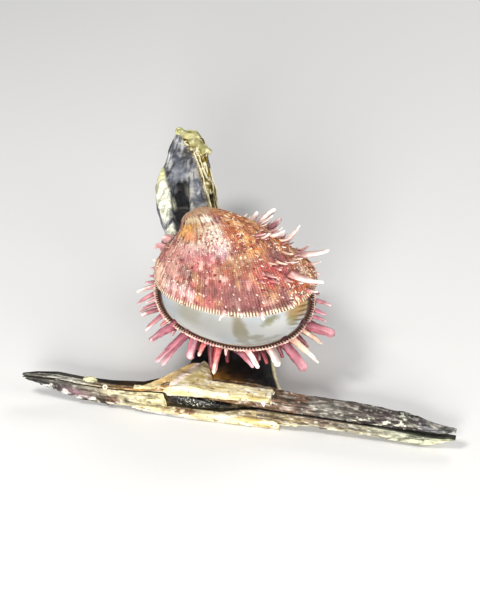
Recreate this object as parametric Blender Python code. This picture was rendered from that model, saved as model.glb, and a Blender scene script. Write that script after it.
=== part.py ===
"""A gaping spiny oyster that grew on a hammer oyster.

The hammer oyster lies on its lower valve. Its long hinge bar runs along X in front, and its body goes
back along Y and bends up to the tip. The spiny oyster is cemented on the body, its open side to the front.
Sizes in the tables are millimetres, and the meshes are in metres with +Z up. The origin is at the middle
of the underside.
"""

import math

import bmesh
import bpy
import numpy as np
from mathutils import Matrix, Vector

MM = 0.001

# Spiny oyster: the closed outline of a valve in its own plane, x along the hinge and y up to the hinge
SHELL_OUTLINE = (
    (-14.0, -1.0), (-19.0, -7.0), (-24.5, -17.0), (-29.5, -30.0), (-31.0, -44.0), (-27.0, -57.0),
    (-16.5, -68.5), (-1.5, -77.0), (14.0, -79.0), (29.0, -73.5), (39.5, -61.0), (43.0, -46.0),
    (39.0, -30.0), (29.0, -17.0), (20.0, -7.0), (15.0, -1.0),
)
SHELL_MIDDLE = (5.0, -42.0)
HOLLOW_MIDDLE = (3.0, -33.0)
HINGE_AT = (-29.5, 80.0, 52.5)
SHELL_YAW_DEG = 20.5
SHELL_PITCH_DEG = 14.0
GAPE_DEG = 14.2
HINGE_CLEARANCE = 0.6
RIM_WIDTH = 3.0
HINGE_PLATE_WIDTH = 9.0
UMBO_TURN_DEG = 140.0

# How far the upper valve's umbo leans to the left, the growth where it leans most and the lean's spread
UMBO_LEAN = -6.0
LEAN_GROWTH = 0.2
LEAN_SPREAD = 0.22

# How fast each valve opens as it turns about the hinge: a lower number makes a deeper valve
UPPER_OPENING = 1.30
LOWER_OPENING = 1.15
UPPER_HOLLOW_DEPTH = 15.5
LOWER_HOLLOW_DEPTH = 18.0
HOLLOW_SQUARENESS = 0.9
SHELL_SIDES = 44
SHELL_RINGS = 18
MARGIN_RING = 10
RING_SPACING_POWER = 1.4
OUTLINE_SAMPLES = 2000

# Spines of the lower valve: bearing from the front edge (degrees, right is positive), growth (1 is the
# margin), length, width, rise from the valve's plane (degrees) and sweep along the margin (degrees)
LOWER_SPINES = (
    (-136, 0.97, 6, 1.6, 20, 0), (-127, 0.97, 7, 1.6, 15, 0), (-119, 0.97, 5, 1.3, 10, 0),
    (-112, 0.97, 5, 1.3, 15, 0), (-106, 0.97, 6, 1.5, 15, 0), (-102, 0.97, 11, 2.0, 30, 0),
    (-95, 0.97, 12, 2.0, 40, 0), (-89, 0.97, 6, 1.5, 25, 0), (-84, 0.97, 10, 2.0, 20, 0),
    (-78, 0.97, 10, 2.0, 5, 0), (-72, 0.97, 12, 2.1, 35, 0), (-66, 0.97, 5, 1.6, 30, 0),
    (-59, 0.97, 15, 3.5, 5, 0), (-46, 0.97, 22, 3.3, 5, 0), (-38, 0.97, 11, 3.4, 50, 10),
    (-29, 0.97, 8, 2.0, 20, -5), (-24, 0.97, 12, 2.8, 45, 18), (-18, 0.97, 14, 2.7, 25, 0),
    (-12, 0.97, 4, 1.6, 20, 0), (-4, 0.97, 12, 2.3, 15, 40), (3, 0.97, 11, 2.4, 15, 22),
    (8, 0.97, 8, 1.9, 20, 0), (13, 0.97, 8, 2.0, 25, 5), (19, 0.97, 11, 2.8, 15, 0),
    (25, 0.97, 7, 1.9, 35, 0), (30, 0.97, 18, 3.8, 15, 0), (36, 0.97, 19, 3.1, 5, 0),
    (41, 0.97, 9, 1.9, 20, 0), (47, 0.97, 13, 2.4, 10, 0), (52, 0.97, 16, 3.8, 0, 8),
    (57, 0.97, 5, 1.6, 5, 0), (61, 0.97, 9, 2.0, 0, 0), (67, 0.97, 8, 1.9, 10, 0),
    (76, 0.97, 10, 2.1, 15, 0), (84, 0.97, 5, 1.8, 25, 0), (94, 0.97, 5, 1.8, 10, 0),
    (104, 0.97, 12, 2.3, 25, 0), (115, 0.97, 9, 1.9, 15, 0), (127, 0.97, 8, 1.7, 15, 0),
    (-112, 0.80, 9, 2.2, 35, 0), (-84, 0.82, 8, 2.0, 55, 0), (-57, 0.82, 9, 2.2, 50, 0),
    (-33, 0.86, 8, 2.0, 60, 0), (-10, 0.88, 9, 2.2, 50, 10), (14, 0.88, 8, 2.2, 55, 0),
    (40, 0.84, 9, 2.2, 50, 0), (66, 0.82, 9, 2.2, 50, 0), (92, 0.80, 10, 2.2, 40, 0),
    (118, 0.78, 9, 2.0, 35, 0),
)
UPPER_SPINES = (
    (78, 0.82, 16, 2.4, 12, 0), (48, 0.86, 19, 3.0, 10, -5), (92, 0.74, 12, 2.0, 50, 0),
    (104, 0.53, 13, 2.5, 25, 0), (114, 0.64, 11, 2.3, 25, 0), (108, 0.47, 7, 1.6, 50, 0),
    (98, 0.39, 4, 1.3, 40, 0), (84, 0.50, 11, 1.6, 35, 0), (34, 0.78, 6, 1.3, 20, 10),
    (64, 0.80, 5, 1.3, 15, 0), (26, 0.84, 7, 1.5, 15, 10), (-14, 0.985, 6, 1.7, -10, -20),
    (12, 0.985, 4, 1.7, -45, 5), (54, 0.97, 6, 1.6, 5, 0), (66, 0.97, 5, 1.5, 10, 0),
    (88, 0.96, 6, 1.6, 15, 0), (103, 0.92, 7, 1.7, 25, 0), (120, 0.85, 6, 1.6, 25, 0),
)
SPINE_SIDES_STEP = 1
SPINE_STEPS = 3
SPINE_TIP_SHARE = 0.38
SPINE_TAPER_POWER = 1.3
SPINE_ROOT_SHARE = 0.45
SPINE_CURL_DEG = 22.0

# Hammer oyster's hinge bar, left tip to right tip:
# x, front y, back y, underside, top of the lower valve, underside of the upper valve, top
BAR = (
    (-100, 0.0, 2.0, 10.6, 11.7, 12.4, 13.2),
    (-94, -1.0, 3.4, 8.9, 12.6, 13.1, 14.1),
    (-84, -1.0, 4.8, 6.0, 13.0, 13.4, 14.4),
    (-72, -1.0, 5.4, 2.6, 11.4, 11.8, 13.0),
    (-58, -1.0, 6.0, 1.8, 11.1, 11.5, 12.5),
    (-44, -1.2, 7.0, 2.8, 11.8, 12.2, 13.4),
    (-36, -1.2, 10.5, 2.0, 12.6, 13.0, 15.4),
    (-33, -1.0, 11.6, 1.2, 12.4, 12.9, 16.4),
    (-31.5, -0.8, 12.0, 0.9, 4.9, 12.5, 17.0),
    (-27, -0.4, 12.0, 0.6, 4.2, 12.4, 17.2),
    (-18, -0.2, 12.2, 0.6, 3.9, 11.6, 17.4),
    (-10, 0.0, 12.4, 0.6, 4.4, 10.9, 17.6),
    (2, 0.0, 12.4, 0.6, 8.0, 10.4, 17.4),
    (11, -0.6, 12.0, 0.8, 9.6, 10.2, 16.8),
    (20, -1.0, 11.0, 2.0, 9.7, 10.1, 16.0),
    (34, -1.0, 10.0, 4.0, 9.6, 10.0, 15.4),
    (50, -1.0, 10.0, 3.4, 9.1, 9.5, 15.0),
    (66, -1.0, 9.0, 2.8, 8.6, 9.0, 14.6),
    (74, -1.0, 8.5, 1.6, 8.0, 8.5, 13.4),
    (84, -1.0, 7.5, 1.2, 7.4, 8.2, 12.0),
    (93, -0.6, 5.2, 2.6, 7.1, 8.2, 10.6),
    (100, 0.0, 3.0, 5.6, 7.8, 8.6, 9.9),
)
BAR_BACK_SLOPE = 0.17
BAR_BACK_SLOPE_PER_MM = -0.001
BAR_EDGE = 0.9
BAR_EDGE_LARGEST_SHARE = 0.3
BAR_BACK_EDGE_SHARE = 0.5

# Hammer oyster's body, hinge to tip:
# x, y, half width, underside, top of the lower valve, top
BODY = (
    (-8, 10, 30, 0.0, 9.6, 15.0),
    (-8, 31, 20, 0.0, 7.0, 15.0),
    (-13, 52, 19, 0.0, 9.0, 22.0),
    (-22, 72, 18, 0.0, 15.0, 37.0),
    (-34, 92, 16, 3.0, 23.0, 42.5),
    (-45, 111, 13.5, 18.0, 33.0, 43.5),
    (-52.5, 127, 14.5, 32.0, 42.5, 49.0),
    (-55, 142, 11.5, 43.0, 49.0, 55.0),
    (-57, 153, 9, 52.0, 55.0, 59.5),
    (-59, 159, 5, 58.0, 60.0, 62.5),
)
BODY_STEPS = 3
VALVE_GAP = 0.8
SEAT_GAP = 0.4

# Sections of the body: share of the half width across it, share of the height up from the valve's low edge
UPPER_SECTION = (
    (-1.0, 0.0), (-1.0, 0.3), (-0.6, 0.75), (0.12, 1.0), (0.45, 0.86), (0.5, 0.6), (0.8, 0.5),
    (0.86, 0.25), (1.0, 0.2), (1.0, 0.0),
)
LOWER_SECTION = ((-1.0, 1.0), (1.0, 1.0), (1.02, 0.65), (0.62, 0.0), (-0.62, 0.0), (-1.04, 0.65))

LOWER_PLATE_X = (-48.0, 20.5)
LOWER_PLATE_Y = (-1.4, 13.0)
LOWER_PLATE_TOP = 3.8
UPPER_PLATE_X = (-31.0, 20.0)
UPPER_PLATE_Y = (-1.8, 13.0)
UPPER_PLATE_Z = (14.2, 17.6)
PLATE_TAPER = 14.0
PLATE_BLUNT = 3.0
PLATE_EDGE_SHARE = 0.25

# Shares of a plate's height: the underside and top of its thin left end, and the top of its right end
PLATE_LEFT_LOW = 0.6
PLATE_LEFT_TOP = 0.95
PLATE_RIGHT_TOP = 0.75

# The umbo on the upper plate: y, left x, right x, height of its ridge
UMBO_WEDGE = ((-1.5, -30.0, -5.0, 19.0), (10.0, -27.0, -9.0, 18.6), (24.0, -21.0, -16.0, 16.6))
UMBO_FOOT = 1.5

LIGAMENT_X = (-30.4, -3.0)
LIGAMENT_STATIONS = 11
LIGAMENT_FRONT = 2.6
LIGAMENT_BACK = 9.4
LIGAMENT_CLEARANCE = 0.6
LIGAMENT_BULGE = 0.8
LIGAMENT_BULGE_LOW = 0.3
LIGAMENT_BULGE_HIGH = 0.7
LIGAMENT_LUMP = 0.35
LIGAMENT_LUMP_LENGTH = 8.0

RESILIUM_SIZE = (8.0, 4.6, 3.6)
RESILIUM_AT = (0.0, -3.2, 0.3)
RESILIUM_CLEARANCE = 0.35
RESILIUM_SIDES = 12
RESILIUM_RINGS = 8

MERGE_DISTANCE = 0.02
SHARP_EDGE_DEG = 40.0

# Colour, roughness
FINISHES = {
    "spiny_upper_valve": ((0.42, 0.17, 0.13), 0.55),
    "spiny_lower_valve": ((0.62, 0.33, 0.31), 0.5),
    "spiny_hinge_ligament": ((0.04, 0.025, 0.02), 0.6),
    "hammer_upper_valve": ((0.48, 0.42, 0.30), 0.7),
    "hammer_lower_valve": ((0.42, 0.38, 0.29), 0.7),
    "hammer_ligament": ((0.015, 0.013, 0.012), 0.55),
}


def cubic(a, b, c, d, f):
    """The smooth cubic from b to c that also heeds the points before and after; f runs from 0 to 1."""
    return 0.5 * (2 * b + (c - a) * f + (2 * a - 5 * b + 4 * c - d) * f**2 + (3 * b - a - 3 * c + d) * f**3)


def closed_curve(points, count):
    """A smooth closed curve through the points, as count points."""
    fixed = np.array(points)
    along = np.linspace(0.0, len(fixed), count, endpoint=False)
    start = along.astype(int)
    near = (fixed[(start + shift) % len(fixed)] for shift in (-1, 0, 1, 2))
    return cubic(*near, (along - start)[:, None])


def open_curve(points, steps):
    """A smooth open curve through rows of numbers, with some steps from each row to the next."""
    fixed = np.array(points, float)
    last = len(fixed) - 1
    along = np.linspace(0.0, last, last * steps + 1)
    start = np.minimum(along.astype(int), last - 1)
    near = (fixed[np.clip(start + shift, 0, last)] for shift in (-1, 0, 1, 2))
    return cubic(*near, (along - start)[:, None])


def outline_point(bearing_deg):
    """The valve's margin at a bearing from the front edge, seen from the middle of the valve."""
    middle = np.array(SHELL_MIDDLE)
    spoke = closed_curve(SHELL_OUTLINE, OUTLINE_SAMPLES) - middle
    bearings = np.degrees(np.arctan2(spoke[:, 0], -spoke[:, 1]))
    order = np.argsort(bearings)
    radius = np.interp(bearing_deg, bearings[order], np.hypot(*spoke.T)[order], period=360.0)
    angle = np.radians(bearing_deg)
    return np.stack([middle[0] + radius * np.sin(angle), middle[1] - radius * np.cos(angle)], axis=-1)


def outside_point(bearing_deg, growth, opening, side):
    """A point on the outside: the margin shrunk by growth and turned about the hinge as it shrinks."""
    turn = -np.log(growth) / opening
    flat = outline_point(bearing_deg) * np.asarray(growth)[..., None]
    reach = flat[..., 1]
    lean = UMBO_LEAN * np.exp(-(((np.asarray(growth) - LEAN_GROWTH) / LEAN_SPREAD) ** 2)) if side > 0 else 0.0
    return np.stack([flat[..., 0] + lean, reach * np.cos(turn), -side * reach * np.sin(turn)], axis=-1)


def inside_point(bearing_deg, share, depth, side):
    """A point on the inside: share is 1 at the rim's inner edge and 0 at the deepest place."""
    margin = outline_point(bearing_deg)
    middle = np.array(HOLLOW_MIDDLE)
    spoke = margin - middle
    length = np.linalg.norm(spoke, axis=-1)
    towards_hinge = np.clip(spoke[..., 1] / length, 0.0, 1.0)
    inset = RIM_WIDTH + (HINGE_PLATE_WIDTH - RIM_WIDTH) * towards_hinge
    flat = middle + spoke * (share * (1.0 - inset / length))[..., None]
    hollow = side * depth * (1.0 - share**2) ** HOLLOW_SQUARENESS
    return np.concatenate([flat, hollow[..., None]], axis=-1)


def valve_placement(side):
    """The matrix that puts a valve, drawn in its own plane, in its place. side is 1 for the upper valve."""
    place = Matrix.Translation(Vector(HINGE_AT) * MM)
    place = place @ Matrix.Rotation(math.radians(SHELL_YAW_DEG), 4, "Z")
    place = place @ Matrix.Rotation(math.radians(SHELL_PITCH_DEG), 4, "X")
    if side > 0:
        place = place @ Matrix.Rotation(math.radians(-GAPE_DEG), 4, "X")
        place = place @ Matrix.Translation((0.0, 0.0, HINGE_CLEARANCE * MM))
    return place


def finish_of(name):
    """The piece's own material."""
    colour, roughness = FINISHES[name]
    material = bpy.data.materials.new(name)
    material.use_nodes = True
    shader = material.node_tree.nodes["Principled BSDF"]
    shader.inputs["Base Color"].default_value = (*colour, 1.0)
    shader.inputs["Roughness"].default_value = roughness
    material.diffuse_color = (*colour, 1.0)
    return material


def face_out(bm):
    """Turns every face outwards and works out the normals afresh, before and after."""
    bm.normal_update()
    bmesh.ops.recalc_face_normals(bm, faces=bm.faces)
    bm.normal_update()


def object_from(name, bm, collection):
    """Puts a bmesh in an object of the collection, its faces pointing out."""
    face_out(bm)
    mesh = bpy.data.meshes.new(name)
    bm.to_mesh(mesh)
    bm.free()
    mesh.validate()
    piece = bpy.data.objects.new(name, mesh)
    collection.objects.link(piece)
    return piece


def combine(piece, others, operation):
    """Joins the other solids to the piece, or cuts them from it, and removes them."""
    for other in others:
        change = piece.modifiers.new(operation.lower(), "BOOLEAN")
        change.operation = operation
        change.solver = "EXACT"
        change.object = other
    bpy.context.view_layer.update()
    graph = bpy.context.evaluated_depsgraph_get()
    mesh = bpy.data.meshes.new_from_object(piece.evaluated_get(graph))
    mesh.name = piece.name
    piece.modifiers.clear()
    piece.data = mesh
    for other in others:
        bpy.data.objects.remove(other, do_unlink=True)


def valve_body(name, side, hollow, grow_by, collection):
    """A valve without its spines: a sphere whose upper rings become the outside and the rest the inside."""
    opening = UPPER_OPENING if side > 0 else LOWER_OPENING
    depth = UPPER_HOLLOW_DEPTH if side > 0 else LOWER_HOLLOW_DEPTH
    bm = bmesh.new()
    bmesh.ops.create_uvsphere(bm, u_segments=SHELL_SIDES, v_segments=SHELL_RINGS, radius=1.0)
    unit = np.array([vertex.co for vertex in bm.verts])
    bearing = np.degrees(np.arctan2(unit[:, 0], -unit[:, 1]))
    ring = np.arccos(np.clip(unit[:, 2], -1.0, 1.0)) / math.pi * SHELL_RINGS
    first_growth = math.exp(-opening * math.radians(UMBO_TURN_DEG))
    outer_share = np.clip(ring / MARGIN_RING, 0.0, 1.0)
    growth = first_growth + (1.0 - first_growth) * outer_share**RING_SPACING_POWER
    outer = outside_point(bearing, growth, opening, side)
    inner_share = np.clip((SHELL_RINGS - ring) / (SHELL_RINGS - MARGIN_RING - 1), 0.0, 1.0)
    inner = inside_point(bearing, inner_share, depth if hollow else 0.0, side)
    place = np.where((ring > MARGIN_RING + 0.5)[:, None], inner, outer)
    all_round = np.linspace(0.0, 360.0, SHELL_SIDES, endpoint=False)
    first_ring = outside_point(all_round, np.full(SHELL_SIDES, first_growth), opening, side)
    place[ring < 0.5] = first_ring.mean(axis=0)
    for vertex, spot in zip(bm.verts, place):
        vertex.co = spot * MM
    face_out(bm)
    for vertex in bm.verts:
        vertex.co += vertex.normal * grow_by * MM
    bm.transform(valve_placement(side))
    return object_from(name, bm, collection)


def spine(name, row, opening, side, collection):
    """A curved, blunt, tapering spine with its root inside the valve."""
    bearing, growth, length, width, rise_deg, sweep_deg = row
    root = outside_point(np.array(bearing), np.array(growth), opening, side)
    out_angle = math.radians(bearing + sweep_deg)
    outward = Vector((math.sin(out_angle), -math.cos(out_angle), 0.0))
    upward = Vector((0.0, 0.0, side))
    matrix = valve_placement(side)
    drawn = bpy.data.curves.new(name, "CURVE")
    drawn.dimensions = "3D"
    drawn.bevel_depth = 0.5 * MM
    drawn.bevel_resolution = SPINE_SIDES_STEP
    drawn.use_fill_caps = True
    line = drawn.splines.new("POLY")
    line.points.add(SPINE_STEPS)
    heading = math.radians(rise_deg - 0.5 * SPINE_CURL_DEG)
    start = outward * math.cos(heading) + upward * math.sin(heading)
    spot = Vector(root) - start * width * SPINE_ROOT_SHARE
    for step, point in enumerate(line.points):
        share = step / SPINE_STEPS
        point.co = (*(matrix @ (spot * MM)), 1.0)
        point.radius = width * (1.0 - (1.0 - SPINE_TIP_SHARE) * share**SPINE_TAPER_POWER)
        bend = heading + math.radians(SPINE_CURL_DEG) * share
        spot = spot + (outward * math.cos(bend) + upward * math.sin(bend)) * length / SPINE_STEPS
    tube = bpy.data.objects.new(name, drawn)
    collection.objects.link(tube)
    bpy.context.view_layer.update()
    graph = bpy.context.evaluated_depsgraph_get()
    mesh = bpy.data.meshes.new_from_object(tube.evaluated_get(graph))
    bm = bmesh.new()
    bm.from_mesh(mesh)
    bmesh.ops.remove_doubles(bm, verts=bm.verts, dist=MERGE_DISTANCE * MM)
    bpy.data.objects.remove(tube, do_unlink=True)
    bpy.data.curves.remove(drawn)
    return object_from(name, bm, collection)


def spiny_valve(name, side, spines, parts, helpers):
    """A whole valve of the spiny oyster, its spines grown together with it."""
    opening = UPPER_OPENING if side > 0 else LOWER_OPENING
    valve = valve_body(name, side, True, 0.0, parts)
    grown = [
        spine(f"{name}_spine_{index}", row, opening, side, helpers) for index, row in enumerate(spines)
    ]
    combine(valve, grown, "UNION")
    return valve


def loft(name, rings, collection):
    """A closed solid through rings of equally many points, given in millimetres."""
    bm = bmesh.new()
    rows = [[bm.verts.new(Vector(point) * MM) for point in ring] for ring in rings]
    count = len(rows[0])
    for here, there in zip(rows, rows[1:]):
        for index in range(count):
            after = (index + 1) % count
            bm.faces.new((here[index], here[after], there[after], there[index]))
    bm.faces.new(rows[0])
    bm.faces.new(reversed(rows[-1]))
    bmesh.ops.triangulate(bm, faces=bm.faces, quad_method="SHORT_EDGE")
    return object_from(name, bm, collection)


def bar_ring(x, front, back, low, high):
    """A section of a wing: blunt at the hinge edge in front, sloping down to the back."""
    slope = BAR_BACK_SLOPE + BAR_BACK_SLOPE_PER_MM * x
    drop = slope * (back - front)
    edge = min(BAR_EDGE, BAR_EDGE_LARGEST_SHARE * (high - low))
    return (
        (x, front, low + edge), (x, front, high - edge), (x, front + edge, high),
        (x, back, high - drop), (x, back + edge * BAR_BACK_EDGE_SHARE, max(low, high - drop - edge)),
        (x, back - edge, low), (x, front + edge, low),
    )


def hinge_plate(name, x_range, y_range, z_range, collection):
    """A plate of the hinge. Its left end thins from below and its right end is blunt."""
    (x0, x1), (y0, y1), (z0, z1) = x_range, y_range, z_range
    stations = (
        (x0, PLATE_LEFT_LOW, PLATE_LEFT_TOP), (x0 + PLATE_TAPER, 0.0, 1.0),
        (x1 - PLATE_BLUNT, 0.0, 1.0), (x1, 0.0, PLATE_RIGHT_TOP),
    )
    rings = []
    for x, low_share, top_share in stations:
        low = z0 + (z1 - z0) * low_share
        top = z0 + (z1 - z0) * top_share
        edge = PLATE_EDGE_SHARE * (top - low)
        rings.append((
            (x, y0, low + edge), (x, y0, top - edge), (x, y0 + edge, top), (x, y1, top), (x, y1, low),
            (x, y0 + edge, low),
        ))
    return loft(name, rings, collection)


def body_frames():
    """Stations along the body, each with the unit vector across it, square to the way it runs."""
    table = open_curve(BODY, BODY_STEPS)
    table[:, 3] = np.maximum(table[:, 3], 0.0)
    way = np.gradient(table[:, :2], axis=0)
    way /= np.linalg.norm(way, axis=1)[:, None]
    across = np.stack([way[:, 1], -way[:, 0]], axis=1)
    return zip(table, across)


def body_rings(upper):
    """Sections of one valve's body. The upper valve has a crest right of the middle."""
    rings = []
    section = UPPER_SECTION if upper else LOWER_SECTION
    for (x, y, half, low, middle, high), across in body_frames():
        base = middle + VALVE_GAP if upper else low
        rise = high - base if upper else middle - low
        rings.append([
            (x + across[0] * half * aside, y + across[1] * half * aside, base + rise * up)
            for aside, up in section
        ])
    return rings


def hammer_lower(parts, helpers):
    """The hammer oyster's lower valve: wings, hinge plate and body, flat where it rests."""
    rings = [bar_ring(x, front, back, low, top) for x, front, back, low, top, _, _ in BAR]
    valve = loft("hammer_lower_valve", rings, parts)
    plate = hinge_plate("lower_plate", LOWER_PLATE_X, LOWER_PLATE_Y, (0.0, LOWER_PLATE_TOP), helpers)
    body = loft("lower_body", body_rings(False), helpers)
    combine(valve, [plate, body], "UNION")
    return valve


def hammer_upper(parts, helpers):
    """The hammer oyster's upper valve, with the seat that the spiny oyster is cemented in."""
    rings = [bar_ring(x, front, back, low, top) for x, front, back, _, _, low, top in BAR]
    valve = loft("hammer_upper_valve", rings, parts)
    plate = hinge_plate("upper_plate", UPPER_PLATE_X, UPPER_PLATE_Y, UPPER_PLATE_Z, helpers)
    foot = UPPER_PLATE_Z[0]
    wedge = loft(
        "umbo_wedge",
        [
            ((x0, y, foot), (x1, y, foot), (x1, y, foot + UMBO_FOOT), (0.5 * (x0 + x1), y, top),
             (x0, y, foot + UMBO_FOOT))
            for y, x0, x1, top in UMBO_WEDGE
        ],
        helpers,
    )
    body = loft("upper_body", body_rings(True), helpers)
    combine(valve, [plate, wedge, body], "UNION")
    seat = valve_body("seat", -1, False, SEAT_GAP, helpers)
    combine(valve, [seat], "DIFFERENCE")
    return valve


def hammer_ligament(parts):
    """The dark ligament in the slot between the valves: a lumpy front, tapering to the right."""
    table = np.array(BAR)
    rings = []
    for x in np.linspace(*LIGAMENT_X, LIGAMENT_STATIONS):
        slope = BAR_BACK_SLOPE + BAR_BACK_SLOPE_PER_MM * x
        low = np.interp(x, table[:, 0], table[:, 4])
        high = np.interp(x, table[:, 0], table[:, 5])
        z0 = max(low, LOWER_PLATE_TOP) + LIGAMENT_CLEARANCE
        z1 = high - slope * LIGAMENT_BACK - LIGAMENT_CLEARANCE
        lump = LIGAMENT_LUMP * math.sin(2.0 * math.pi * x / LIGAMENT_LUMP_LENGTH)
        front = LIGAMENT_FRONT - LIGAMENT_BULGE + lump
        rings.append((
            (x, LIGAMENT_FRONT, z0), (x, front, z0 + LIGAMENT_BULGE_LOW * (z1 - z0)),
            (x, front - lump, z0 + LIGAMENT_BULGE_HIGH * (z1 - z0)), (x, LIGAMENT_FRONT, z1),
            (x, LIGAMENT_BACK, z1), (x, LIGAMENT_BACK, z0),
        ))
    return loft("hammer_ligament", rings, parts)


def resilium(name, grow_by, collection):
    """The spiny oyster's inner ligament, a small cushion between the hinge plates."""
    bm = bmesh.new()
    bmesh.ops.create_uvsphere(bm, u_segments=RESILIUM_SIDES, v_segments=RESILIUM_RINGS, radius=0.5)
    size = [(edge + 2.0 * grow_by) * MM for edge in RESILIUM_SIZE]
    bm.transform(Matrix.Diagonal((*size, 1.0)))
    bm.transform(Matrix.Translation(Vector(RESILIUM_AT) * MM))
    bm.transform(valve_placement(-1))
    return object_from(name, bm, collection)


def settle(pieces):
    """Moves the meshes so that the origin is at the middle of the underside."""
    corners = np.array([vertex.co for piece in pieces for vertex in piece.data.vertices])
    low = corners.min(axis=0)
    high = corners.max(axis=0)
    shift = Matrix.Translation((-0.5 * (low[0] + high[0]), -0.5 * (low[1] + high[1]), -low[2]))
    for piece in pieces:
        piece.data.transform(shift)


def main():
    """Builds the six pieces in the collection named for the object."""
    for old in list(bpy.data.objects):
        bpy.data.objects.remove(old, do_unlink=True)
    parts = bpy.data.collections.new("spiny_oyster_shell")
    helpers = bpy.data.collections.new("helpers")
    bpy.context.scene.collection.children.link(parts)
    bpy.context.scene.collection.children.link(helpers)

    upper = spiny_valve("spiny_upper_valve", 1, UPPER_SPINES, parts, helpers)
    lower = spiny_valve("spiny_lower_valve", -1, LOWER_SPINES, parts, helpers)
    for valve in (upper, lower):
        combine(valve, [resilium("pit", RESILIUM_CLEARANCE, helpers)], "DIFFERENCE")
    cushion = resilium("spiny_hinge_ligament", 0.0, parts)
    pieces = [
        upper, lower, cushion, hammer_upper(parts, helpers), hammer_lower(parts, helpers),
        hammer_ligament(parts),
    ]
    settle(pieces)
    for piece in pieces:
        piece.data.materials.clear()
        piece.data.materials.append(finish_of(piece.name))
        piece.data.shade_smooth()
        piece.data.set_sharp_from_angle(angle=math.radians(SHARP_EDGE_DEG))


main()
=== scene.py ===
"""The looks of a gaping spiny oyster that grew on a hammer oyster.

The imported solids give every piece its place. This script makes the fine surfaces around them: the ribbed
and spined valves with their porcelain hollow, and the rough, layered valves of the hammer oyster that
carries them. Shapes are drawn in millimetres in the drawing frame, in which the hammer oyster's hinge bar
starts at y = 0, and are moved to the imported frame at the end.
"""

from __future__ import annotations

import logging
import math
from dataclasses import dataclass, field
from enum import Enum

import bpy
import numpy as np
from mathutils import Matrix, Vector

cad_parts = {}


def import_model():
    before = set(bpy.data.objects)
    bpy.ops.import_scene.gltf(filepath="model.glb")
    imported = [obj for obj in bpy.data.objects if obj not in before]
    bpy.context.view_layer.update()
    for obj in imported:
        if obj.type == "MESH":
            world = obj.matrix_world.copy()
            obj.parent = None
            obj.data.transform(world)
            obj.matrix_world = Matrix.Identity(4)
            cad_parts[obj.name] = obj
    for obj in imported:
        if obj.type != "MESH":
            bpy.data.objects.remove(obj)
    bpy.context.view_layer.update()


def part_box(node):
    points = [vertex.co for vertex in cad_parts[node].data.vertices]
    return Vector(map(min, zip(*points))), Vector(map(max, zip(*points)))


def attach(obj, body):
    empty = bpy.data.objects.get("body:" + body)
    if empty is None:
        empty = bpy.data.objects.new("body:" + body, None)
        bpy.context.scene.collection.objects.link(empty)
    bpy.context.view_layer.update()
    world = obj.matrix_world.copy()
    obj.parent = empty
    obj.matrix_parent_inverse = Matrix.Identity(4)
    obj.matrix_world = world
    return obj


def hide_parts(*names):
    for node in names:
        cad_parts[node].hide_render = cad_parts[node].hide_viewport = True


LOG = logging.getLogger("spiny_oyster_shell")
MM = 0.001
BODY = "root"
Array = np.ndarray
Socket = bpy.types.NodeSocket

# Where the slot's ligament starts and ends in the drawing frame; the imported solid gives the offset
LIGAMENT_LEFT = -30.4
LIGAMENT_BACK = 9.4


def linear(colour: str) -> Array:
    """Turns a colour such as "B0706C" into linear light.

    Args:
        colour: six hexadecimal digits, two for each of red, green and blue.

    Returns:
        Three linear values from 0 to 1.
    """
    coded = np.array([int(colour[start:start + 2], 16) for start in (0, 2, 4)]) / 255.0
    return np.where(coded <= 0.04045, coded / 12.92, ((coded + 0.055) / 1.055) ** 2.4)


def blend(first: Array | str, second: Array | str, share: Array) -> Array:
    """Mixes two colours, or grids of them, by a share for each point; a text is a colour's code."""
    low, high = (linear(colour) if isinstance(colour, str) else colour for colour in (first, second))
    return low + (high - low) * np.asarray(share)[..., None]


def sheet(first: Array, second: Array) -> Array:
    """Lays two coordinates side by side as points of a plane, to read noise at."""
    return np.stack(np.broadcast_arrays(first, second, 0.0), axis=-1)


def step(low: float, high: float, value: Array) -> Array:
    """The smooth step: 0 below low, 1 above high, and a cubic between."""
    share = np.clip((value - low) / (high - low), 0.0, 1.0)
    return share * share * (3.0 - 2.0 * share)


def hashed(cell: Array, seed: int) -> Array:
    """Gives each whole-numbered cell a fixed value from 0 to 1, by mixing the bits of its coordinates."""
    whole = cell.astype(np.int64)
    mixed = (whole[..., 0] * 73856093) ^ (whole[..., 1] * 19349663) ^ (whole[..., 2] * 83492791)
    mixed = mixed ^ (seed * 2654435761)
    mixed = ((mixed ^ (mixed >> 13)) * 1274126177) & 0xFFFFFFFF
    mixed = mixed ^ (mixed >> 16)
    return (mixed & 0xFFFF) / 65535.0


def noise(points: Array, size: float | tuple[float, float, float], seed: int = 0) -> Array:
    """Smooth noise: the values of a cell's eight corners, blended by a smooth step along each axis.

    Args:
        points: any grid of points, the last axis x, y, z.
        size: the cell's edge, or one edge for each axis.
        seed: chooses another pattern.

    Returns:
        A value from -1 to 1 for each point.
    """
    scaled = points / np.asarray(size, float)
    base = np.floor(scaled)
    share = scaled - base
    share = share * share * (3.0 - 2.0 * share)
    total = np.zeros(points.shape[:-1])
    for corner in range(8):
        offset = np.array([corner & 1, corner >> 1 & 1, corner >> 2])
        weight = np.prod(np.where(offset == 1, share, 1.0 - share), axis=-1)
        total += weight * hashed(base + offset, seed)
    return 2.0 * total - 1.0


def rough(points: Array, size: float | tuple[float, float, float], octaves: int = 4, seed: int = 0) -> Array:
    """Layered noise: each octave has half the cell size and 0.55 of the height of the one before."""
    total = np.zeros(points.shape[:-1])
    height = 1.0
    whole = 0.0
    edge = np.asarray(size, float)
    for octave in range(octaves):
        total += height * noise(points, edge, seed + 31 * octave)
        whole += height
        height *= 0.55
        edge = edge * 0.5
    return total / whole


def shaded(colour: Array, change: Array) -> Array:
    """Lightens or darkens colours by a share for each point."""
    return colour * (1.0 + change)[..., None]


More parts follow.
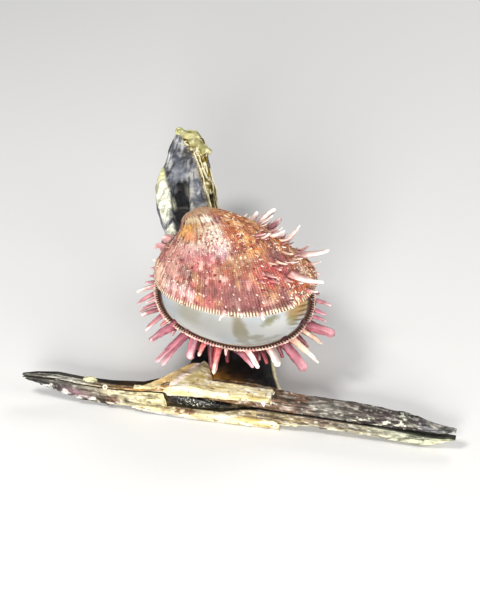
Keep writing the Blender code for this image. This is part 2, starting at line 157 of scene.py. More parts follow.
def layered(colour: Array, points: Array, layers: tuple[tuple, ...]) -> Array:
    """Lays patches of colour by noise, each a row: code, strength, low, high, size, octaves, seed."""
    for code, strength, low, high, size, octaves, seed in layers:
        colour = blend(colour, code, strength * step(low, high, rough(points, size, octaves, seed)))
    return colour


def ramp(value: Array, stops: tuple[tuple[float, str], ...]) -> Array:
    """Reads a colour ramp: straight lines in linear light between the stops' colours."""
    places = [place for place, _ in stops]
    colours = np.array([linear(code) for _, code in stops])
    return np.stack([np.interp(value, places, colours[:, channel]) for channel in range(3)], axis=-1)


def cubic(rows: Array, along: Array, closed: bool) -> Array:
    """A smooth curve through rows of numbers: the cubic that also heeds the rows before and after.

    Args:
        rows: one row for each fixed point.
        along: where to read the curve, in rows from the first.
        closed: whether the last row leads back to the first.

    Returns:
        One row for each value of along.
    """
    count = len(rows)
    last = count if closed else count - 1
    start = np.minimum(along.astype(int), last - 1)
    f = (along - start)[:, None]
    near = []
    for shift in (-1, 0, 1, 2):
        index = start + shift
        near.append(rows[index % count if closed else np.clip(index, 0, count - 1)])
    a, b, c, d = near
    return 0.5 * (2 * b + (c - a) * f + (2 * a - 5 * b + 4 * c - d) * f**2 + (3 * b - a - 3 * c + d) * f**3)


def circle(count: int) -> Array:
    """Evenly spaced angles round a circle."""
    return np.linspace(0.0, 2.0 * math.pi, count, endpoint=False)


def globe(rows: int, columns: int) -> Array:
    """Points of a ball of radius 1, without its two poles."""
    polar, around = np.meshgrid(np.linspace(0.0, math.pi, rows)[1:-1], circle(columns), indexing="ij")
    return np.stack([np.sin(polar) * np.cos(around), np.sin(polar) * np.sin(around), np.cos(polar)], axis=-1)


def hoop(radius: float, thickness: float, depth: float, columns: int, sides: int) -> Array:
    """A flattened circle carried round a larger circle about z."""
    far, near = np.meshgrid(circle(columns), circle(sides), indexing="ij")
    reach = radius + thickness * np.cos(near)
    return np.stack([reach * np.cos(far), reach * np.sin(far), depth * np.sin(near)], axis=-1)


def normals_of(points: Array) -> Array:
    """Unit normals of a grid whose columns close on themselves: the cross product of its two directions."""
    down = np.gradient(points, axis=0)
    around = np.roll(points, -1, axis=1) - np.roll(points, 1, axis=1)
    normal = np.cross(around, down)
    normal /= np.linalg.norm(normal, axis=-1, keepdims=True) + 1e-12
    outward = points - points.reshape(-1, 3).mean(axis=0)
    return normal if np.sum(normal * outward) > 0 else -normal


def turned(axis: int, degrees: float) -> Array:
    """The 3 by 3 matrix of a turn about x (0), y (1) or z (2)."""
    angle = math.radians(degrees)
    matrix = np.eye(3)
    i, j = (axis + 1) % 3, (axis + 2) % 3
    matrix[i, i] = matrix[j, j] = math.cos(angle)
    matrix[i, j] = -math.sin(angle)
    matrix[j, i] = math.sin(angle)
    return matrix


def shown(name: str, data: bpy.types.ID) -> bpy.types.Object:
    """Makes an object of a mesh, lamp or camera and links it to the scene."""
    item = bpy.data.objects.new(name, data)
    bpy.context.scene.collection.objects.link(item)
    return item


def plain_material(name: str) -> tuple[bpy.types.Material, bpy.types.Node]:
    """Makes a material with nodes, and gives it with its shader."""
    material = bpy.data.materials.new(name)
    material.use_nodes = True
    return material, material.node_tree.nodes["Principled BSDF"]


@dataclass
class Skin:
    """One mesh in the making: closed grids of points with their colours, kept as plain arrays."""

    name: str
    points: list[Array] = field(default_factory=list)
    quads: list[Array] = field(default_factory=list)
    triangles: list[Array] = field(default_factory=list)
    quad_uvs: list[Array] = field(default_factory=list)
    triangle_uvs: list[Array] = field(default_factory=list)
    paints: list[Array] = field(default_factory=list)
    finishes: list[Array] = field(default_factory=list)
    specks: list[Array] = field(default_factory=list)
    count: int = 0

    def add_grid(
        self, points: Array, paint: Array, finish: Array, along: Array | None = None, ring: bool = False,
        speck: Array | None = None,
    ) -> None:
        """Adds a closed surface whose columns close on themselves.

        Its two ends are closed by a pole in the middle of the end row, or, for a ring, joined to each other.
        The faces are turned outwards by the sign of the enclosed volume.

        Args:
            points: rows by columns by 3, in millimetres.
            paint: a linear colour for each point, or one for all.
            finish: roughness, strength of the ribs and strength of the grain, for each point or for all.
            along: the second UV coordinate of each row.
            ring: whether the last row leads back to the first.
            speck: how thickly pale, dark and rusty specks lie, for each point; none if left out.
        """
        rows, columns = points.shape[:2]
        index = np.arange(rows * columns).reshape(rows, columns)
        v = np.linspace(0.0, 1.0, rows) if along is None else along
        if ring:
            index = np.vstack([index, index[:1]])
            v = np.linspace(0.0, 1.0, rows + 1)
        after = np.roll(index, -1, axis=1)
        quads = np.stack([index[:-1], after[:-1], after[1:], index[1:]], axis=-1).reshape(-1, 4)
        u = np.arange(columns) / columns
        left = np.broadcast_to(u, (len(v) - 1, columns))
        right = left + 1.0 / columns
        upper = np.broadcast_to(v[:-1, None], left.shape)
        lower = np.broadcast_to(v[1:, None], left.shape)
        corners = [(left, upper), (right, upper), (right, lower), (left, lower)]
        quad_uv = np.stack([np.stack(corner, axis=-1) for corner in corners], axis=2).reshape(-1, 4, 2)
        flat = points.reshape(-1, 3)
        paint = np.broadcast_to(paint, points.shape).reshape(-1, 3)
        finish = np.broadcast_to(finish, points.shape).reshape(-1, 3)
        speck = np.broadcast_to(np.zeros(3) if speck is None else speck, points.shape).reshape(-1, 3)
        triangles = np.zeros((0, 3), int)
        triangle_uv = np.zeros((0, 3, 2))
        if not ring:
            flat = np.vstack([flat, points[0].mean(axis=0), points[-1].mean(axis=0)])
            ends = (slice(0, columns), slice(-columns, None))
            paint = np.vstack([paint, *[paint[end].mean(axis=0)[None] for end in ends]])
            finish = np.vstack([finish, *[finish[end].mean(axis=0)[None] for end in ends]])
            speck = np.vstack([speck, *[speck[end].mean(axis=0)[None] for end in ends]])
            poles = np.full(columns, rows * columns)
            first = np.stack([poles, after[0], index[0]], axis=-1)
            last = np.stack([index[-1], after[-1], poles + 1], axis=-1)
            triangles = np.vstack([first, last])
            middle = u + 0.5 / columns
            begin = np.full(columns, v[0])
            end = np.full(columns, v[-1])
            triangle_uv = np.vstack([
                np.stack([np.stack([middle, begin], -1), np.stack([u + 1.0 / columns, begin], -1),
                          np.stack([u, begin], -1)], axis=1),
                np.stack([np.stack([u, end], -1), np.stack([u + 1.0 / columns, end], -1),
                          np.stack([middle, end], -1)], axis=1),
            ])
        centred = flat - flat.mean(axis=0)
        split = np.vstack([quads[:, [0, 1, 2]], quads[:, [0, 2, 3]], triangles])
        a, b, c = (centred[split[:, corner]] for corner in range(3))
        if np.einsum("ij,ij->", a, np.cross(b, c)) < 0.0:
            quads, quad_uv = quads[:, ::-1], quad_uv[:, ::-1]
            triangles, triangle_uv = triangles[:, ::-1], triangle_uv[:, ::-1]
        self.points.append(flat)
        self.paints.append(paint)
        self.finishes.append(finish)
        self.specks.append(speck)
        self.quads.append(quads + self.count)
        self.triangles.append(triangles + self.count)
        self.quad_uvs.append(quad_uv)
        self.triangle_uvs.append(triangle_uv)
        self.count += len(flat)

    def add_triangles(self, points: Array, triangles: Array, paint: Array, finish: Array) -> None:
        """Adds a closed mesh that is already made of triangles facing outwards."""
        self.points.append(points)
        self.paints.append(np.broadcast_to(paint, points.shape))
        self.finishes.append(np.broadcast_to(finish, points.shape))
        self.specks.append(np.zeros(points.shape))
        self.triangles.append(triangles + self.count)
        self.triangle_uvs.append(np.zeros((len(triangles), 3, 2)))
        self.count += len(points)

    def to_mesh(self, offset: Array) -> bpy.types.Mesh:
        """Puts the arrays in a mesh, moved by the offset and turned from millimetres to metres."""
        place = (np.vstack(self.points) + offset) * MM
        quads = np.vstack(self.quads) if self.quads else np.zeros((0, 4), int)
        triangles = np.vstack(self.triangles) if self.triangles else np.zeros((0, 3), int)
        mesh = bpy.data.meshes.new(self.name)
        mesh.vertices.add(len(place))
        mesh.vertices.foreach_set("co", place.astype(np.float32).ravel())
        mesh.loops.add(quads.size + triangles.size)
        order = np.concatenate([quads.ravel(), triangles.ravel()])
        mesh.loops.foreach_set("vertex_index", order.astype(np.int32))
        mesh.polygons.add(len(quads) + len(triangles))
        starts = np.concatenate([np.arange(len(quads)) * 4, quads.size + np.arange(len(triangles)) * 3])
        mesh.polygons.foreach_set("loop_start", starts.astype(np.int32))
        mesh.update(calc_edges=True)
        layer = mesh.uv_layers.new(name="UVMap")
        uvs = [uv.reshape(-1, 2) for uv in (*self.quad_uvs, *self.triangle_uvs)]
        layer.data.foreach_set("uv", np.vstack(uvs).astype(np.float32).ravel())
        for name, values in (("paint", self.paints), ("finish", self.finishes), ("speck", self.specks)):
            attribute = mesh.attributes.new(name, "FLOAT_COLOR", "POINT")
            colour = np.ones((len(place), 4), np.float32)
            colour[:, :3] = np.clip(np.vstack(values), 0.0, 1.0)
            attribute.data.foreach_set("color", colour.ravel())
        mesh.shade_smooth()
        mesh.validate()
        return mesh


@dataclass
class NodeBook:
    """Short ways to add nodes to one material."""

    tree: bpy.types.NodeTree

    def add(self, kind: str, **values: object) -> bpy.types.Node:
        """Adds a node and sets its properties."""
        node = self.tree.nodes.new(kind)
        for name, value in values.items():
            setattr(node, name, value)
        return node

    def feed(self, node: bpy.types.Node, socket: str | int, value: object) -> None:
        """Links an output to a node's input, or sets the input to a number or colour."""
        if isinstance(value, Socket):
            self.tree.links.new(value, node.inputs[socket])
        else:
            node.inputs[socket].default_value = value

    def attribute(self, name: str) -> Socket:
        """Reads a colour attribute of the mesh."""
        node = self.add("ShaderNodeAttribute", attribute_name=name, attribute_type="GEOMETRY")
        return node.outputs["Color"]

    def parts(self, colour: Socket) -> list[Socket]:
        """Splits a colour into its three numbers."""
        node = self.add("ShaderNodeSeparateColor")
        self.feed(node, "Color", colour)
        return list(node.outputs)

    def math(self, operation: str, first: object, second: object = 0.0, clamp: bool = False) -> Socket:
        """Works out one number from two."""
        node = self.add("ShaderNodeMath", operation=operation, use_clamp=clamp)
        self.feed(node, 0, first)
        self.feed(node, 1, second)
        return node.outputs[0]

    def times(self, first: object, second: object, clamp: bool = False) -> Socket:
        """Multiplies two numbers."""
        return self.math("MULTIPLY", first, second, clamp)

    def plus(self, first: object, second: object, clamp: bool = False) -> Socket:
        """Adds two numbers."""
        return self.math("ADD", first, second, clamp)

    def remap(self, value: object, low: float, high: float, to_low: float, to_high: float) -> Socket:
        """Carries a range of numbers to another range."""
        node = self.add("ShaderNodeMapRange")
        self.feed(node, "Value", value)
        ends = {"From Min": low, "From Max": high, "To Min": to_low, "To Max": to_high}
        for socket, number in ends.items():
            self.feed(node, socket, number)
        return node.outputs[0]

    def noise(self, vector: object, scale: float, detail: float = 4.0, distortion: float = 0.0) -> Socket:
        """Procedural noise, as a number around one half."""
        node = self.add("ShaderNodeTexNoise")
        self.feed(node, "Vector", vector)
        self.feed(node, "Scale", scale)
        self.feed(node, "Detail", detail)
        self.feed(node, "Distortion", distortion)
        return node.outputs[0]

    def mix(self, kind: str, share: object, first: object, second: object) -> Socket:
        """Mixes two colours."""
        node = self.add("ShaderNodeMix", data_type="RGBA", blend_type=kind)
        self.feed(node, 0, share)
        self.feed(node, 6, first)
        self.feed(node, 7, second)
        return node.outputs[2]

    def bump(self, height: object, strength: float, distance: float, normal: object = None) -> Socket:
        """Tilts the shading by a height in metres times the distance."""
        node = self.add("ShaderNodeBump")
        self.feed(node, "Height", height)
        self.feed(node, "Strength", strength)
        self.feed(node, "Distance", distance)
        if normal is not None:
            self.feed(node, "Normal", normal)
        return node.outputs[0]


@dataclass(frozen=True)
class ShellFinish:
    """The finish of a piece of shell: its painted colours, broken up by grain, fine ribs and growth lines."""

    name: str
    rib_count: int = 160
    growth_lines: int = 90
    mottle_size: float = 900.0
    mottle: float = 0.35
    fleck_size: float = 1500.0
    grain_size: float = 2600.0
    grain_depth: float = 0.00025
    stretch: tuple[float, float, float] = (1.0, 1.0, 1.0)
    subsurface: float = 0.04
    specular: float = 0.45
    with_specks: bool = False
    pale: str = "F6E6CC"
    dark: str = "5E161A"
    rust: str = "B8642A"

    def mask(self, book: NodeBook, pattern: Socket, density: Socket,
             start: float, reach: float) -> Socket:
        """Where a pattern plus its density times the reach rises above the start, over a short ramp."""
        raised = book.plus(pattern, book.times(density, reach))
        return book.times(book.math("SUBTRACT", raised, start), 14.0, clamp=True)

    def specked(self, book: NodeBook, colour: Socket, spot: Socket,
                lanes: Socket) -> Socket:
        """Lays rusty patches, pale grains, dashes and dark dots on a colour, as the speck attribute says.

        Args:
            book: the material's nodes.
            colour: what lies below.
            spot: the place on the piece.
            lanes: the place in ribs and growth steps, for dashes that follow a rib.

        Returns:
            The new colour.
        """
        pale, dark, rust = book.parts(book.attribute("speck"))
        for pattern, density, start, reach, strength, code in (
            (book.noise(spot, 620.0, 4.0, 0.6), rust, 0.72, 0.24, 0.85, self.rust),
            (book.noise(spot, 1250.0, 2.0), pale, 0.74, 0.18, 0.85, self.pale),
            (book.noise(lanes, 1.0, 1.0), pale, 0.72, 0.2, 0.8, self.pale),
        ):
            share = book.times(self.mask(book, pattern, density, start, reach), strength)
            colour = book.mix("MIX", share, colour, (*linear(code), 1.0))
        cells = book.add("ShaderNodeTexVoronoi")
        book.feed(cells, "Vector", spot)
        book.feed(cells, "Scale", 360.0)
        chosen = book.parts(cells.outputs["Color"])[0]
        size = book.times(book.plus(book.times(dark, 0.7), chosen), 0.24)
        dots = book.times(book.math("SUBTRACT", size, cells.outputs["Distance"]), 14.0, clamp=True)
        dots = book.times(dots, book.math("GREATER_THAN", dark, 0.02))
        return book.mix("MIX", book.times(dots, 0.85), colour, (*linear(self.dark), 1.0))

    def make(self) -> bpy.types.Material:
        """Builds the material.

        The paint attribute is darkened and lightened by noise and by sine ribs that follow the UV map. The
        finish attribute gives the roughness, the strength of the ribs and the strength of the grain.

        Returns:
            The new material.
        """
        material, shader = plain_material(self.name)
        book = NodeBook(material.node_tree)
        place = book.add("ShaderNodeTexCoord")
        mapping = book.add("ShaderNodeMapping")
        book.feed(mapping, "Vector", place.outputs["Object"])
        book.feed(mapping, "Scale", self.stretch)
        spot = mapping.outputs[0]
        paint = book.attribute("paint")
        roughness, ribs, grain = book.parts(book.attribute("finish"))
        split = book.add("ShaderNodeSeparateXYZ")
        book.feed(split, 0, place.outputs["UV"])
        around, along = split.outputs[0], split.outputs[1]
        waver = book.noise(spot, 220.0, 2.0)
        rib = book.math("SINE", book.math("MULTIPLY_ADD", around, 2.0 * math.pi * self.rib_count))
        growth_phase = book.plus(book.times(along, 2.0 * math.pi * self.growth_lines),
                                 book.times(waver, 9.0))
        growth = book.math("SINE", growth_phase)
        mottle = book.noise(spot, self.mottle_size, 5.0, 0.4)
        fleck = book.noise(spot, self.fleck_size, 3.0)
        fine = book.noise(spot, self.grain_size, 3.0)

        dark_share = book.remap(mottle, 0.25, 0.75, self.mottle, -self.mottle)
        dark_share = book.times(dark_share, grain)
        # The ribs and growth lines also lighten and darken the colour: painted light and shade on the fine
        # relief, beside the bump.
        rib_shade = book.times(book.times(rib, ribs), 0.16)
        growth_shade = book.times(book.times(growth, ribs), 0.09)
        shade = book.math("SUBTRACT", 1.0, dark_share)
        shade = book.plus(shade, book.plus(rib_shade, growth_shade))
        grey = book.add("ShaderNodeCombineColor")
        for socket in range(3):
            book.feed(grey, socket, shade)
        colour = book.mix("MULTIPLY", 1.0, paint, grey.outputs[0])
        pits = book.times(book.remap(fleck, 0.34, 0.26, 0.0, 0.55), grain, clamp=True)
        colour = book.mix("MULTIPLY", pits, colour, (0.25, 0.16, 0.12, 1.0))
        if self.with_specks:
            lanes = book.add("ShaderNodeCombineXYZ")
            book.feed(lanes, 0, book.times(around, float(self.rib_count)))
            book.feed(lanes, 1, book.times(along, 42.0))
            colour = self.specked(book, colour, spot, lanes.outputs[0])
        book.feed(shader, "Base Color", colour)

        gloss = book.plus(roughness, book.times(book.math("SUBTRACT", fine, 0.5), 0.25), clamp=True)
        book.feed(shader, "Roughness", gloss)
        relief = book.times(book.plus(mottle, book.times(fine, 0.6)), grain)
        normal = book.bump(relief, 0.55, self.grain_depth)
        lines = book.times(book.plus(rib, book.times(growth, 0.6)), ribs)
        normal = book.bump(lines, 0.6, 0.00014, normal)
        book.feed(shader, "Normal", normal)
        shader.inputs["Specular IOR Level"].default_value = self.specular
        shader.inputs["Subsurface Weight"].default_value = self.subsurface
        shader.inputs["Subsurface Scale"].default_value = 0.002
        shader.inputs["Subsurface Radius"].default_value = (1.0, 0.5, 0.35)
        return material


@dataclass(frozen=True)
class LigamentFinish:
    """Dark dried ligament: near black, uneven gloss, with pale and greenish specks, which also serve as
    painted highlights.
    """

    name: str
    colour: str = "0C0A09"
    speck: str = "D4D6C0"
    speck_and_glint_share: float = 0.8

    def make(self) -> bpy.types.Material:
        """Builds the material: noise mixes a dark brown in, and cells of noise above a level are specks,
        partly painted highlights.
        """
        material, shader = plain_material(self.name)
        book = NodeBook(material.node_tree)
        place = book.add("ShaderNodeTexCoord").outputs["Object"]
        lumps = book.noise(place, 420.0, 5.0, 0.8)
        specks = book.noise(place, 1300.0, 2.0)
        clusters = book.noise(place, 190.0, 1.0)
        dark = (*linear(self.colour), 1.0)
        brown = (*linear("2A211A"), 1.0)
        colour = book.mix("MIX", book.remap(lumps, 0.42, 0.7, 0.0, 0.8), dark, brown)
        # The pale specks are partly painted highlights.
        where = book.times(book.remap(specks, 0.56, 0.64, 0.0, 1.0),
                          book.remap(clusters, 0.42, 0.6, 0.0, self.speck_and_glint_share), clamp=True)
        colour = book.mix("MIX", where, colour, (*linear(self.speck), 1.0))
        book.feed(shader, "Base Color", colour)
        book.feed(shader, "Roughness", book.remap(lumps, 0.3, 0.7, 0.25, 0.6))
        book.feed(shader, "Normal", book.bump(lumps, 0.7, 0.0006))
        shader.inputs["Specular IOR Level"].default_value = 0.3
        return material


class SpineColour(Enum):
    """Colour families of the spines: at the root, in the middle and at the tip; the dark root and pale tip
    are partly the spines' own colour, partly painted shade and painted highlight.
    """

    WHITE = ("A8706A", "D6BEB4", "E8E2DA")
    PINK = ("6E2E38", "A86C70", "DCC2BC")
    MAGENTA = ("5C222C", "985C66", "C89C9E")
    DARK = ("240608", "5A141A", "86343A")
    CREAM = ("9A6250", "CCAC94", "DCD2C4")
    SALMON = ("7C2C2E", "A65A58", "D2AEA0")
    ROUND = ("4C1E26", "8A4C56", "B88488")
    ROSE = ("8E5656", "BE8A86", "DEC6BC")


class SpineTip(Enum):
    """How much of a spine's width is left before its rounded end."""

    POINTED = 0.30
    BLUNT = 0.55
    BROAD = 0.95


@dataclass(frozen=True)
class Spine:
    """One spine: where it grows, its size in millimetres and its colours."""

    bearing: float
    growth: float
    length: float
    width: float
    rise: float
    sweep: float
    colour: SpineColour = SpineColour.PINK
    tip: SpineTip = SpineTip.BLUNT
    curl: float = 22.0


WHITE, PINK, MAGENTA, DARK, CREAM, SALMON, ROUND, ROSE = SpineColour
POINTED, BLUNT, BROAD = SpineTip
RIM = 0.97

# Bearing from the front edge, growth, length, width, rise, sweep along the margin, colour, tip, curl
LOWER_SPINES = tuple(Spine(*row) for row in (
    (-146, RIM, 7, 4.6, 5, 15, ROSE, BROAD), (-138, RIM, 12, 3.2, 25, 0, ROSE, POINTED, 115.0),
    (-139, RIM, 6, 3.6, 20, 0, ROSE, BROAD), (-127, RIM, 6, 1.6, 15, 0, CREAM),
    (-119, RIM, 5, 1.3, 10, 0, MAGENTA), (-112, RIM, 5, 1.3, 15, 0, MAGENTA),
    (-106, RIM, 6, 1.5, 15, 0, PINK), (-102, RIM, 11, 2.0, 30, 0, WHITE),
    (-95, RIM, 12, 2.0, 40, 0, PINK), (-89, RIM, 6, 1.5, 25, 0, ROSE, POINTED),
    (-84, RIM, 10, 2.0, 20, 0, PINK), (-78, RIM, 10, 2.0, 5, 0, PINK, BROAD),
    (-72, RIM, 12, 2.1, 35, 0, PINK), (-66, RIM, 5, 1.6, 30, 0, SALMON),
    (-59, RIM, 15, 3.5, 5, 0, MAGENTA), (-46, RIM, 22, 3.0, 5, -2, MAGENTA),
    (-45, RIM, 21, 2.6, 8, 3, MAGENTA), (-38, RIM, 11, 3.4, 50, 10, MAGENTA, BROAD),
    (-29, RIM, 8, 2.0, 20, -5, SALMON), (-24, RIM, 12, 2.8, 45, 18, DARK),
    (-18, RIM, 14, 2.7, 25, 0, SALMON), (-12, RIM, 4, 1.6, 20, 0, WHITE, POINTED),
    (-4, RIM, 12, 2.3, 15, 40, ROUND), (3, RIM, 11, 2.4, 15, 22, WHITE), (8, RIM, 8, 1.9, 20, 0, DARK),
    (13, RIM, 8, 2.0, 25, 5, DARK), (19, RIM, 11, 2.8, 15, 0, WHITE, BROAD),
    (25, RIM, 7, 1.9, 35, 0, DARK), (30, RIM, 18, 3.8, 15, 0, ROUND, BROAD),
    (36, RIM, 19, 3.1, 5, 0, CREAM, POINTED), (41, RIM, 9, 1.9, 20, 0, ROUND),
    (47, RIM, 13, 2.4, 10, 0, CREAM), (52, RIM, 16, 3.8, 0, 8, ROUND, BROAD),
    (57, RIM, 5, 1.6, 5, 0, ROUND), (61, RIM, 9, 2.0, 0, 0, MAGENTA),
    (67, RIM, 8, 1.9, 10, 0, MAGENTA), (76, RIM, 10, 2.1, 15, 0, PINK), (84, RIM, 5, 1.8, 25, 0, PINK),
    (94, RIM, 5, 1.8, 10, 0, WHITE), (104, RIM, 12, 2.3, 25, 0, PINK),
    (115, RIM, 9, 1.9, 15, 0, WHITE), (127, RIM, 8, 1.7, 15, 0, PINK),
    (-112, 0.80, 9, 2.2, 35, 0, PINK), (-84, 0.82, 8, 2.0, 55, 0, MAGENTA),
    (-57, 0.82, 9, 2.2, 50, 0, MAGENTA), (-33, 0.86, 8, 2.0, 60, 0, DARK),
    (-10, 0.88, 9, 2.2, 50, 10, DARK), (14, 0.88, 8, 2.2, 55, 0, ROUND),
    (40, 0.84, 9, 2.2, 50, 0, SALMON), (66, 0.82, 9, 2.2, 50, 0, MAGENTA),
    (92, 0.80, 10, 2.2, 40, 0, PINK), (118, 0.78, 9, 2.0, 35, 0, PINK),
))
UPPER_SPINES = tuple(Spine(*row) for row in (
    (78, 0.82, 16, 2.9, 12, 0, WHITE), (48, 0.86, 19, 3.0, 10, -5, WHITE),
    (92, 0.74, 12, 2.6, 50, 0, WHITE, POINTED), (104, 0.53, 13, 3.2, 40, 0, WHITE, BLUNT, -50.0),
    (114, 0.64, 11, 3.1, 25, 0, PINK), (108, 0.47, 8, 2.8, 50, 0, WHITE),
    (98, 0.39, 5, 2.2, 40, 0, CREAM, POINTED), (84, 0.50, 9, 2.2, 35, 0, WHITE, POINTED),
    (34, 0.78, 6, 1.3, 20, 10, SALMON, POINTED), (64, 0.80, 5, 1.3, 15, 0, CREAM, POINTED),
    (26, 0.84, 7, 1.5, 15, 10, SALMON, POINTED), (-14, 0.985, 6, 1.9, -10, -20, WHITE, POINTED),
    (12, 0.985, 4, 2.0, -45, 5, WHITE), (54, RIM, 6, 1.6, 5, 0, ROSE, POINTED),
    (66, RIM, 5, 1.5, 10, 0, ROSE, POINTED), (88, 0.96, 6, 1.6, 15, 0, WHITE, POINTED),
    (103, 0.92, 7, 1.7, 25, 0, ROSE, POINTED), (120, 0.85, 6, 1.6, 25, 0, PINK, POINTED),
))
SMALL_UPPER_SPINES = tuple(Spine(*row) for row in (
    (-2, 0.985, 2.5, 1.6, -30, 0, WHITE, POINTED), (33, 0.985, 2.6, 1.5, -20, 10, WHITE, POINTED),
    (25, 0.80, 9.0, 1.5, 12, 5, ROSE, POINTED), (28, 0.83, 9.0, 1.3, 12, -12, PINK, POINTED),
    (36, 0.78, 6.5, 1.4, 12, -10, ROSE, POINTED), (41, 0.76, 7.0, 1.4, 12, 0, CREAM, POINTED),
    (17, 0.83, 5.5, 1.1, 12, 12, PINK, POINTED), (42, 0.60, 6.5, 1.7, 40, 10, WHITE),
    (37, 0.58, 5.5, 1.3, 25, 25, ROSE, POINTED), (57, 0.73, 7.0, 1.5, 12, -15, CREAM, POINTED),
    (56, 0.80, 5.5, 1.3, 25, -10, WHITE, POINTED), (32, 0.75, 6.5, 1.2, 20, 0, CREAM, POINTED),
    (40, 0.86, 6.0, 1.3, 12, -10, ROSE, POINTED), (17, 0.88, 5.0, 1.0, 20, 5, SALMON, POINTED),
    (42, 0.40, 3.0, 0.9, 15, 0, CREAM, POINTED), (105, 0.44, 4.5, 2.0, 40, 15, WHITE, POINTED),
    (107, 0.49, 4.0, 1.8, 60, -5, CREAM), (60, 0.61, 8.0, 2.2, 25, 20, WHITE),
    (68, 0.66, 6.0, 1.4, 20, -10, CREAM, POINTED), (74, 0.58, 5.5, 1.8, 30, -10, ROSE, POINTED),
    (86, 0.62, 6.0, 2.0, 35, 0, WHITE, POINTED), (62, 0.52, 4.5, 1.2, 30, 0, CREAM, POINTED),
    (96, 0.56, 6.0, 1.5, 40, 0, PINK, POINTED),
))


@dataclass(frozen=True)
class Blotch:
    """A patch of colour on the outside of a valve, by bearing in degrees and growth."""

    bearing: float
    growth: float
    half_width: float
    half_height: float
    colour: str
    strength: float = 0.8
    ragged: float = 0.6


@dataclass(frozen=True)
class Stain:
    """A patch of colour inside a valve, in millimetres in the valve's own plane."""

    x: float
    y: float
    half_x: float
    half_y: float
    colour: str
    strength: float = 0.7


